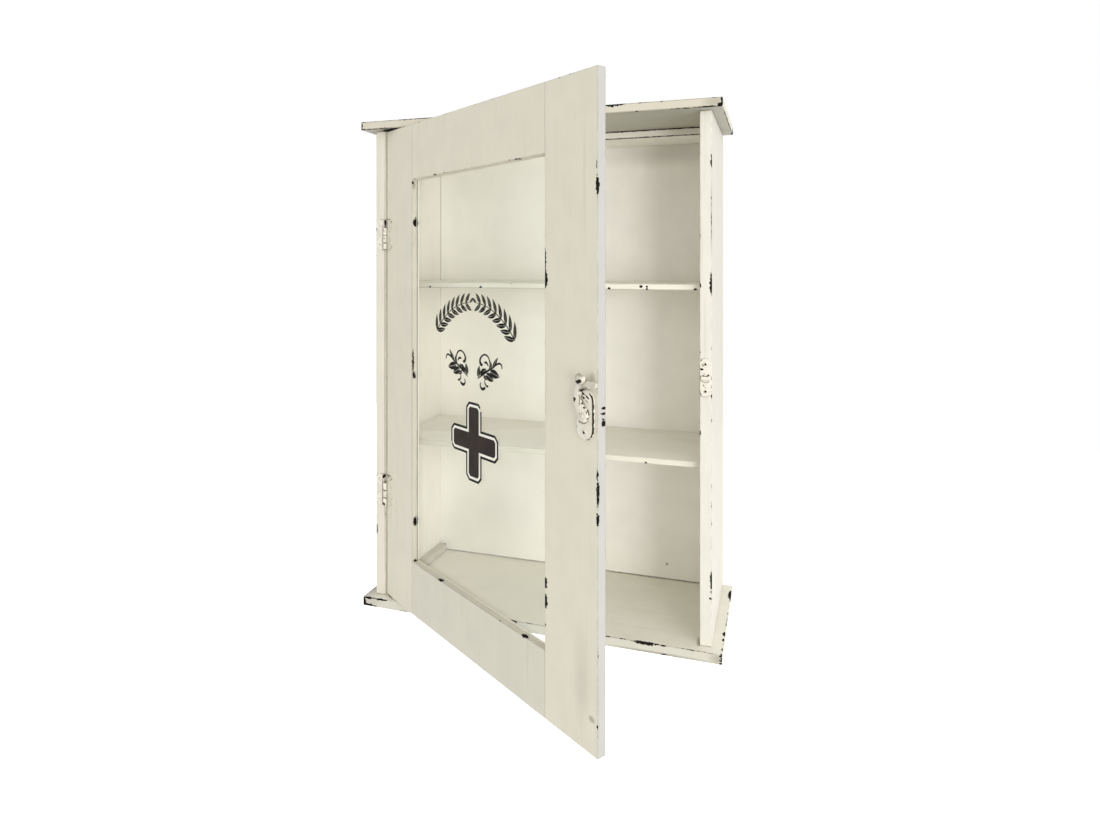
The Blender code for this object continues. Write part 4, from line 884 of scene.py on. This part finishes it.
def darkSteel():
    # Blued steel: bare, nearly black, with a satin shine and brown bloom
    material, tree = newMaterial("bluedSteel")
    bloom = add(tree, "TexNoise", {"Vector": ownPlace(tree), "Scale": 1 / (2.5 * mm), "Detail": 4})
    share = add(tree, "MapRange", {0: bloom, 1: 0.45, 2: 0.7})
    colour = add(tree, "Mix", {0: share, 6: "#4b4845", 7: "#4a3a2f"}, 2, data_type="RGBA")
    sheen = add(tree, "MapRange", {0: bloom, 3: 0.32, 4: 0.55})
    return finish(material, colour, sheen, bloom, 0.5, 0.00004, {"Metallic": 1})


def dowelWood():
    # Turned birch, sawn flush: pale end grain, the paint's thin wash nearly worn off it
    material, tree = newMaterial("birchDowelEnd")
    own = ownPlace(tree)
    pores = add(tree, "TexNoise", {"Vector": own, "Scale": 1 / (0.5 * mm), "Detail": 3})
    share = add(tree, "MapRange", {0: pores, 1: 0.42, 2: 0.68})
    wood = add(tree, "Mix", {0: share, 6: "#b99b70", 7: "#7d6344"}, 2, data_type="RGBA")
    wash = add(tree, "TexNoise", {"Vector": own, "Scale": 1 / (3 * mm), "Detail": 3})
    wash = add(tree, "MapRange", {0: wash, 1: 0.52, 2: 0.46})
    colour = add(tree, "Mix", {0: wash, 6: wood, 7: "#dcd6c4"}, 2, data_type="RGBA")
    sheen = add(tree, "MapRange", {0: pores, 3: 0.55, 4: 0.8})
    return finish(material, colour, sheen, pores, 0.6, 0.00006, {})


dress([name for name in nodes if name.endswith("_dowel")], dowelWood())


# Ironwork shapes. Marks are (points, half width, strength), black for chips and for painted shade lines,
# grey for soil and for painted shade and shadow

def nearPath(x, z, points):
    # Distance from every place to a bent line, the least over its straight pieces
    away = np.full(x.shape, np.inf)
    for (ax, az), (bx, bz) in zip(points[:-1] or points, points[1:] or points):
        dx, dz = bx - ax, bz - az
        share = np.clip(((x - ax) * dx + (z - az) * dz) / max(dx * dx + dz * dz, 1e-9), 0, 1)
        away = np.minimum(away, np.hypot(x - ax - share * dx, z - az - share * dz))
    return away


def markLevel(x, z, marks):
    # Strongest mark at every place, soft over a third of its width
    level = np.zeros(x.shape)
    for points, half, strength in marks:
        away = nearPath(x, z, points)
        level = np.maximum(level, strength * np.clip((half - away) / (half * 0.35), 0, 1))
    return level


def marked(points, marks, worn=0.0, soiledAndShaded=0.0, seen=1, middleZ=0, **shape):
    # A grid of x, y and z with its wear and soil, or the marks where they are stronger, painted shade
    # among them
    x, y, z = np.broadcast_arrays(*points)
    dark, dull = (markLevel(x, z - middleZ, kind) * seen for kind in marks)
    return grid(np.stack([x, y, z], axis=-1), wearAndShade=np.maximum(worn, dark),
                grimeAndShade=np.maximum(soiledAndShaded, dull), **shape)


def screwGrid(screw, centre, faceOut, slotDegrees, bareCentre):
    # Turned profile from point to domed head, with a driver's slot pressed into the dome and painted
    # darker as the slot's shade
    head, rise, shank, length = screw
    rows = [(0, faceOut - length), (shank, faceOut - length + 2 * shank),
            (shank, faceOut - head + shank), (head, faceOut), (head, faceOut + rise * 0.35)]
    dome = [(head * s, faceOut + rise * (0.35 + 0.65 * math.sqrt(1 - s ** 2)))
            for s in np.linspace(0.98, 0, 12)]
    points = turned(rows + dome, 36, "face", centre)
    across, up = points[..., 0] - centre[0], points[..., 2] - centre[1]
    turn = math.radians(slotDegrees)
    off = np.abs(across * math.cos(turn) + up * math.sin(turn))
    inHead = np.arange(len(points))[:, None] >= len(rows)
    groove = np.where(inHead, np.clip(1 - off / (head * 0.22), 0, 1) ** 0.5, 0)
    points[..., 1] += groove * rise * 0.55
    bare = np.where(inHead & (np.hypot(across, up) < head * bareCentre), 4, 0)
    return grid(points, wearAndShade=bare, grimeAndShade=groove * 0.8)


def plateGrid(centre, reach, out, back, face, bevel, relief, marks, spacing=0.4):
    # An oblong plate: rings about its middle line, from the middle of the back to that of the face
    straight, bend = int(2 * reach / spacing), int(math.pi * out / spacing)
    along = np.linspace(-reach, reach, straight, endpoint=False)
    half = np.linspace(0, math.pi, bend, endpoint=False)
    middle = np.concatenate([along, np.full(bend, reach), -along, np.full(bend, -reach)])
    angle = np.concatenate([np.zeros(straight), half, np.full(straight, math.pi), half + math.pi])
    rows = [(0, back), (out - 0.2, back), (out, back - 0.2)]
    rows += [(out - bevel * (1 - math.cos(a)), face + bevel * (1 - math.sin(a)))
             for a in np.linspace(0, math.pi / 2, 5)]
    rows += [(d, face) for d in np.linspace(out - bevel, 0, int(out / spacing) + 1)[1:]]
    away, level = np.array(rows).T[:, :, None]
    row = np.arange(len(rows))[:, None]
    x, z = centre[0] + away * np.cos(angle), centre[1] + middle + away * np.sin(angle)
    y = level - (row >= 7) * relief(x, z, out - away)
    rim = np.where((row >= 3) & (out - away < bevel * 1.2), 0.6, 0)
    return marked((x, y, z), marks, worn=rim, seen=row >= 3)


def barGrid(points, back, face, crown, marks, around=32):
    # A cast bar along a path of (x, z, half width): flat behind, crowned in front, round at the ends
    path = smoothPath(points, 14)
    curve = np.linspace(0, 1, 12)[:, None] ** 1.6
    tips = []
    for end, before in ((path[0], path[1]), (path[-1], path[-2])):
        tip = end.copy()
        tip[:2] += (end - before)[:2] / np.linalg.norm((end - before)[:2]) * end[2]
        tips.append(tip + (end - tip) * curve)
    path = np.vstack([tips[0][:-1], path, tips[1][::-1][1:]])
    half = roundEnds(path[:, :2], path[:, 2])
    half[[0, -1]] = 0
    side = sideways(path[:, :2])
    # Cross-section: half width s from -1 to 1 in front, then back again behind
    s = np.cos(np.linspace(math.pi, 0, around // 2 + 1))
    behind = np.zeros(len(s) - 2)
    share = np.concatenate([s, s[::-1][1:-1]])
    bulge = np.concatenate([np.sqrt(np.clip(1 - s ** 2, 0, 1)), behind])
    thick = np.minimum(half / np.maximum(path[:, 2], 1e-6) * 1.6, 1)[:, None]
    shoulder = back - (back - face - crown) * np.concatenate([np.ones(len(s)), behind])
    y = back + (shoulder - crown * bulge - back) * (0.55 + 0.45 * thick)
    x, z = (path[:, k:k + 1] + side[:, k:k + 1] * half[:, None] * share for k in (0, 1))
    return marked((x, y, z), marks, worn=np.where(np.abs(share) > 0.9, 0.8, 0))


def ballGrid(centre, halfSizes, marks, segments=40, rings=24):
    # An egg-shaped knob: a half circle turned about the upright and stretched
    latitude = np.linspace(-math.pi / 2, math.pi / 2, rings)
    profile = np.stack([np.cos(latitude), np.sin(latitude)], axis=1)
    profile[[0, -1], 0] = 0
    points = np.moveaxis(turned(profile, segments) * halfSizes + centre, -1, 0)
    return marked(points, marks, seen=points[1] < centre[1] + 0.5)


# Hinges: two pressed leaves each, three knuckles and a loose pin

hingeShape = {
    "centres": {"upper": 455, "lower": 138},
    "face": 1.315,
    "back": 2.58,  # bedded on the wood by its paint
    "inner": 2.8,
    "halfHeight": 19.5,
    "narrow": 7,
    "lobe": 12,  # from the middle up to where the leaf is widest
    "corner": 3.5,
    "rim": 0.35,
    "reach": {"case": 13.5, "door": 15.5},
    "screwX": {"case": -8, "door": 9},
    "screwZ": {"low": -12, "high": 12},
    "slotDegrees": {"low": 95, "high": 25},
    "knuckle": 2.5,
    "bore": 1.3,
    "soft": 0.35,
    "pitch": 9.3,
    "barrelLow": -19.25,
    "gap": 0.15,
    "web": [(1.5, 1.415), (3.8, 1.415), (3.8, 2.215), (1.5, 2.215)],
    "pinPoint": [(0, 0.15), (0.7, 0.15), (1, 0.65)],  # radius and height
    "pinHead": [(1, 0.15), (1.7, 0.15), (1.9, 0.4), (1.9, 1), (1.7, 1.35), (1.1, 1.62), (0.5, 1.72),
                (0, 1.75)],
    "screw": (2.1, 0.8, 1, 7.5),
}


def leafEdge(side, level):
    # How far out the leaf goes at a level: a wave with lobes above and below, rounded at its ends
    k = hingeShape
    reach = k["reach"][side]
    wave = (reach + k["narrow"]) / 2 - (reach - k["narrow"]) / 2 * np.cos(math.pi * level / k["lobe"])
    toEnd = np.minimum(k["halfHeight"] - np.abs(level), k["corner"]) / k["corner"]
    ease = 0.45 + 0.55 * np.sqrt(np.clip(1 - (1 - toEnd) ** 2, 0, 1))
    return k["inner"] + (wave - k["inner"]) * ease


def leafGrid(side, centreZ, marks):
    # Pressed sheet: rows up the leaf, each round its cut: behind, over the rim and across the face
    k = hingeShape
    level = k["halfHeight"] * np.sin(np.linspace(-math.pi / 2, math.pi / 2, 91))[:, None]
    edge = leafEdge(side, level)
    backX, frontX = (k["inner"] + (edge - k["inner"]) * share[None]
                     for share in (np.array([0, 1]), np.linspace(1, 0, 33)))
    toRim = np.minimum(edge - frontX, k["halfHeight"] - np.abs(level))
    border = 0.22 * np.exp(-((toRim - 1.9) / 0.45) ** 2)
    frontY = k["face"] + k["rim"] * np.clip(1 - toRim / k["rim"], 0, 1) ** 2 + border
    x = np.concatenate([backX, frontX], axis=1) * (-1 if side == "case" else 1)
    y = np.concatenate([np.full_like(backX, k["back"]), frontY], axis=1)
    worn = np.concatenate([np.zeros_like(backX), np.where(toRim < 0.5, 0.3, 0)], axis=1)
    return marked((x, y, level + centreZ), marks, worn, middleZ=centreZ, caps=True)


# Marks on the hinges, in mm from the pin and from the hinge's middle. Black: chips, and painted shade in
# the notch beside the barrel's upper end and in the seams between the knuckles. Grey: painted shade down
# the barrel's side, at its ends and along the door leaf beside it, and lines round the leaves' outlines
doorGrey = [([(3.4, 19), (9, 18.6), (14.4, 17.6)], 0.8, 1.1), ([(14.2, 17.4), (12.6, 13.8)], 1, 1.2),
            ([(9.4, -11), (14, -14), (14.4, -16.6), (10.3, -18.9)], 0.9, 0.6),
            ([(3.6, 18), (3.6, -19)], 0.7, 1)]
leafMarks = {
    "case": {
        "upper": ([], [([(-4.3, 12), (-4.4, -19)], 0.7, 0.7), ([(-7.6, 18.9), (-3, 18.9)], 0.7, 0.6)]),
        "lower": ([([(-3.4, 14), (-3.2, 17)], 1.2, 3)],
                  [([(-4.3, 12), (-4.4, -19)], 0.7, 1.1), ([(-7.6, 18.9), (-3, 18.9)], 0.7, 0.6)]),
    },
    "door": {"upper": ([([(3.2, 12), (3.2, 18.8)], 0.7, 3)], doorGrey),
             "lower": ([([(3.4, 18.6), (8.4, 16.2)], 0.6, 2.4)], doorGrey)},
}
barrelMarks = {
    "upper": ([([(-1.8, -9.5), (1.4, -10.6)], 0.7, 2.2), ([(-0.7, -0.1), (-0.3, -0.9)], 0.7, 2)],
              [([(-2.4, 9), (2.4, 9)], 1, 1.3), ([(-0.6, 6.2), (0.4, 3.2)], 0.7, 1.1),
               ([(-2.4, -18.4), (2.4, -18.4)], 0.9, 1.2), ([(-2.5, 8), (-2.5, -19)], 0.5, 0.5),
               ([(-1.2, -13), (-1.4, -17)], 0.8, 0.7)]),
    "lower": ([([(-1, -17.1), (-0.4, -17.5)], 1.9, 3.4)],
              [([(-2.4, 8.9), (2.4, 9)], 0.9, 1.1), ([(0.8, -0.2), (1.6, -1.2)], 0.9, 1.3),
               ([(1.2, -9), (2, -10.4)], 0.9, 1.4), ([(-2.5, 8), (-2.5, -12)], 0.6, 1)]),
}


def knuckle(low, high, middleZ, which):
    # A tube with its outer corners eased, worn in the seams at its two ends and painted darker there as
    # the seams' shade
    k = hingeShape
    wall = [(k["knuckle"], level) for level in np.linspace(low + k["soft"], high - k["soft"], 26)]
    inner, outer = k["bore"], k["knuckle"] - k["soft"]
    ring = turned([(inner, low), (outer, low)] + wall + [(outer, high), (inner, high)], 48)
    seam = np.zeros(ring.shape[:2])
    seam[[1, -2]] = 1
    return marked(np.moveaxis(ring, -1, 0), barrelMarks[which], seam * 0.9, seam, middleZ=middleZ,
                  closed=True)


def makeHinges():
    k = hingeShape
    # The leaves on the door take a darker cream than those on the case: painted shade
    paints = {"case": paintedIron("paintedHingeIron", "#e6e1d3", 0.585, onDoor=False),
              "door": paintedIron("paintedHingeIronOnDoor", "#d9d4c2", 0.585)}
    for which, centreZ in k["centres"].items():
        for side, frameName, hand, indices in (("case", "pins", -1, (0, 2)), ("door", "door", 1, (1,))):
            grids = [leafGrid(side, centreZ, leafMarks[side][which])]
            for index in indices:
                low = centreZ + k["barrelLow"] + k["pitch"] * index + k["gap"]
                high = low + k["pitch"] - 2 * k["gap"]
                grids.append(knuckle(low, high, centreZ, which))
                web = [[(x * hand, y, level) for x, y in k["web"]] for level in (low, high)]
                grids.append(grid(np.array(web), caps=True))
            place = (frameName, (0, 0, 0))
            buildPiece(f"{which}{side.title()}HingeLeaf", grids, paints[side], place, side,
                       (f"{which}_hinge_{side}_leaf",))
            for end, levelZ in k["screwZ"].items():
                head = screwGrid(k["screw"], (k["screwX"][side], centreZ + levelZ), -k["face"],
                                 k["slotDegrees"][end], 0)
                buildPiece(f"{which}{side.title()}HingeScrew{end.title()}", [head], paints[side],
                           place, side, (f"{which}_hinge_{side}_screw_{end}",))
        low = centreZ + k["barrelLow"]
        high = low + 3 * k["pitch"]
        profile = [(r, low + z) for r, z in k["pinPoint"]] + [(r, high + z) for r, z in k["pinHead"]]
        buildPiece(f"{which}HingePin", [grid(turned(profile, 32), wearAndShade=0.6, grimeAndShade=0.8)],
                   paints["case"], ("pins", (0, 0, 0)), "case", (f"{which}_hinge_pin",))
    print("hinges made")


# Latch: an oblong cast plate, a curled lever with a knob and a tongue, and its rivet

latchPlace = ("door", (371.2, 2.615, 290.9))
latchShape = {
    "ribs": [(0.45, 1, [(-4, 20.2), (1.4, 17.6), (5, 15.8)]),
             (0.4, 0.9, [(-5.6, 18.4), (0.4, 14.2), (4.2, 12.4)])],
    "lever": [(0, 0, 5.75), (-6, 8, 4.55), (-7.7, 15.5, 4.25), (-5, 22.5, 3.75), (3, 26.2, 3.35),
              (13.6, 26.4, 3.05)],
    "rivet": [(0, -4), (1.5, -4), (1.5, 6.5), (2.7, 6.5), (2.7, 6.9), (2.5, 7.2)],
    "dome": (2.5, 7.2, 0.55),  # radius, foot and rise of the rivet's head
    "screw": (2.4, 0.9, 1.1, 7),
}
# Black: a chip by the hub, and painted shade beside the upper rib and down the plate's right side. Grey:
# the hub's and the lever's painted shadows on the plate, painted shade beside the lower rib and round the
# lower end, and a few faint lines
plateMarks = ([
    ([(-5.6, 19.6), (-0.8, 17), (4.1, 14.8)], 0.95, 4), ([(3.3, 4.4), (4.9, 1.6)], 1, 3),
    ([(5.2, 18.9), (7.3, 16.7), (8.6, 14.2), (9, 11.2), (9, -11.2), (8.6, -14), (7.2, -16.9)],
     0.48, 2.5),
], [
    ([(4.9, 1.6), (5.1, -0.4), (3.8, -3.6), (0.4, -6.3), (-3.1, -7.3), (-7.6, -6.4)], 0.9, 1.5),
    ([(-6.4, 17.5), (-0.6, 13.1), (3.3, 11.2)], 0.7, 0.9), ([(-3.1, 11.2), (-0.4, 9.1)], 0.7, 0.6),
    ([(-9.9, 17.9), (-8.2, 15.8), (-7.7, 10.4), (-7.6, 7), (-5.6, 5.8), (-3.1, 5.3)], 0.8, 1.4),
    ([(-7.4, 19.9), (-3.5, 21.2)], 1.4, 1.2), ([(7.2, -16.9), (4.8, -19.2), (1, -20.6)], 0.6, 0.8),
])
# Black: chips. Grey: painted shade along the lever's inner edge and the knob's top, a smudge where the
# tongue leaves the arm, the knob and the tongue made greyer all over, and marks round the rivet's curl
leverMarks = ([
    ([(-11.6, 12.7), (-9.4, 12.9), (-10.8, 11.4)], 1.5, 3), ([(-4.9, 27.2), (-2, 27.9)], 1.7, 3),
    ([(-1.4, 28.2), (2.6, 29.8)], 1.7, 3.2), ([(-2.2, 20.6), (1.4, 22)], 1.1, 2.4),
], [
    ([(-4.1, 16.6), (-3.6, 11.7), (-3.4, 8.3)], 0.7, 1.2),
    ([(-3.4, 0.6), (-1, 2.1), (1.8, 1.4), (-1.3, -1.2)], 0.6, 0.9),
    ([(-3, 20.8), (0.4, 22.4), (4.6, 23.4)], 1.9, 1.2), ([(-4, 33.6), (0, 35.4), (3.8, 34)], 1, 1),
    ([(0, 30.8)], 8, 0.5), ([(2, 26.2), (14, 26.4)], 4.6, 0.34),
])


def latchRelief(x, z, inward):
    # Cast plate: a raised boss under the lever, two slanting ribs, and a sunk line inside the rim
    boss = 0.8 * np.clip((6 - np.hypot(x, z)) / 0.5, 0, 1)
    ribs = sum(high * np.exp(-(nearPath(x, z, line) / width) ** 2)
               for high, width, line in latchShape["ribs"])
    groove = 0.12 * np.exp(-((inward - 2.2) / 0.45) ** 2)
    return np.maximum(boss, ribs) - groove * (boss < 0.05)


def makeLatch():
    k = latchShape
    coat = paintedIron("paintedLatchIron", "#e3dfcf", 0.61)
    plate = plateGrid((-1, 0), 11.25, 10.25, -0.04, -2.5, 0.6, latchRelief, plateMarks)
    buildPiece("castLatchPlate", [plate], coat, latchPlace, "door", ("latch_plate",))
    lever = barGrid(k["lever"], -3.6, -6.2, 1.1, leverMarks)
    knob = ballGrid((0, -8.4, 31.1), (5.35, 3.55, 4.95), leverMarks)
    buildPiece("curledLatchLever", [lever, knob], coat, latchPlace, "latch_lever", ("latch_lever",))
    radius, foot, rise = k["dome"]
    dome = [(radius * s, foot + rise * math.sqrt(1 - s ** 2)) for s in np.linspace(0.95, 0, 8)]
    rivet = grid(turned(k["rivet"] + dome, 40, "face"), wearAndShade=0.3, grimeAndShade=0.35)
    buildPiece("latchRivet", [rivet], coat, latchPlace, "door", ("latch_rivet",))
    for name, level, degrees in (("lower", -14.6, 62), ("upper", 14.6, 64)):
        screw = screwGrid(k["screw"], (-1, level), 2.5, degrees, 0.45)
        buildPiece(f"{name}LatchScrew", [screw], coat, latchPlace, "door", (f"{name}_latch_screw",))
    print("latch made")


# Keeper: a narrow oblong plate and a turned-up hook of strap iron

keeperShape = {
    "place": ("case", (199.5, -162.3, 295.7)),
    "strap": [(-0.6, -1.35), (1, -1.35), (3.4, -1.35)],  # out and up, along the strap's middle
    "bend": (4, 0.1, 1.45),  # middle and radius of its bend
    "tip": [(5.45, 1.2), (5.45, 2.2)],
    "halfWidth": (5.4, 5),
    "screw": (2.1, 0.8, 1, 9),
}
# Black: chips, and the painted shadow in the slot behind the hook. Grey: painted shade down the plate's
# left edge and round its lower end, and the hook's painted shadow below it
keeperMarks = ([
    ([(-4.6, 9.2), (-3.4, 9)], 1.3, 3.4), ([(-2.6, 1.9), (-0.4, 1), (1.6, 1.4), (3.1, 3.1)], 0.95, 3.2),
    ([(-5.9, -17), (-5, -18.6)], 0.9, 2.2),
], [
    ([(-6.2, 12.9), (-6.3, 6.5), (-6.3, -12.9), (-5.9, -16.4), (-4.1, -19.9)], 0.8, 0.9),
    ([(-2.4, 12.6), (-3.6, 14.4)], 0.9, 1.1),
    ([(-5.4, 1.1), (-4.6, -3.3), (-1.5, -5), (2.9, -4.5), (4.3, -1.1)], 0.7, 0.8),
    ([(-2.3, -8.2), (-2.2, -8.3)], 1.1, 1.2), ([(-4.1, -19.6), (0, -20.8), (4.4, -18.6)], 0.7, 0.6),
])


def hookGrid():
    # A strap out from the plate and up, given by its middle line and half widths
    k = keeperShape
    out, up, radius = k["bend"]
    bend = [(out + radius * math.sin(a), up - radius * math.cos(a))
            for a in np.linspace(0, math.pi / 2, 9)]
    line = np.array(k["strap"] + bend + k["tip"])
    heading = np.gradient(line, axis=0)
    heading /= np.linalg.norm(heading, axis=1, keepdims=True)
    normal = np.stack([heading[:, 1], -heading[:, 0]], axis=1)
    half, thick = np.linspace(*k["halfWidth"], len(line)), np.ones(len(line))
    half[-1] -= 0.5
    thick[-1] = 0.6
    corner = np.linspace(0, math.pi / 2, 4)
    ring = np.array([(sx * (0.88 + 0.12 * math.cos(a)), sy * (0.5 + 0.5 * math.sin(a)))
                     for sx, sy in ((1, 1), (-1, 1), (-1, -1), (1, -1))
                     for a in (corner if sx * sy > 0 else corner[::-1])])
    x = 0.5 + half[:, None] * ring[:, 0]
    out, up = (line[:, i:i + 1] + normal[:, i:i + 1] * thick[:, None] * ring[:, 1] for i in (0, 1))
    worn = np.where(np.abs(ring[:, 0]) > 0.97, 0.7, 0)
    return marked((x, -out, up), keeperMarks, worn=worn, caps=True)


def keeperRelief(x, z, inward):
    # A sunk line inside the rim, a bell curve across its width
    return -0.12 * np.exp(-((inward - 1.7) / 0.4) ** 2)


def makeKeeper():
    coat = paintedIron("paintedKeeperIron", "#e3dfd1", 0.60, onDoor=False)
    plate = plateGrid((0, 0), 14.5, 6.45, 2.25, 0, 0.5, keeperRelief, keeperMarks)
    place = keeperShape["place"]
    buildPiece("castKeeper", [plate, hookGrid()], coat, place, "case", ("keeper_plate",))
    for name, level, degrees in (("lower", -14.7, 80), ("upper", 14.7, 35)):
        screw = screwGrid(keeperShape["screw"], (0, level), 0, degrees, 0.62)
        buildPiece(f"{name}KeeperScrew", [screw], coat, place, "case", (f"{name}_keeper_screw",))
    print("keeper made")


makeHinges()
makeLatch()
makeKeeper()
dress([name for name in nodes if "_hanger_" in name], darkSteel())
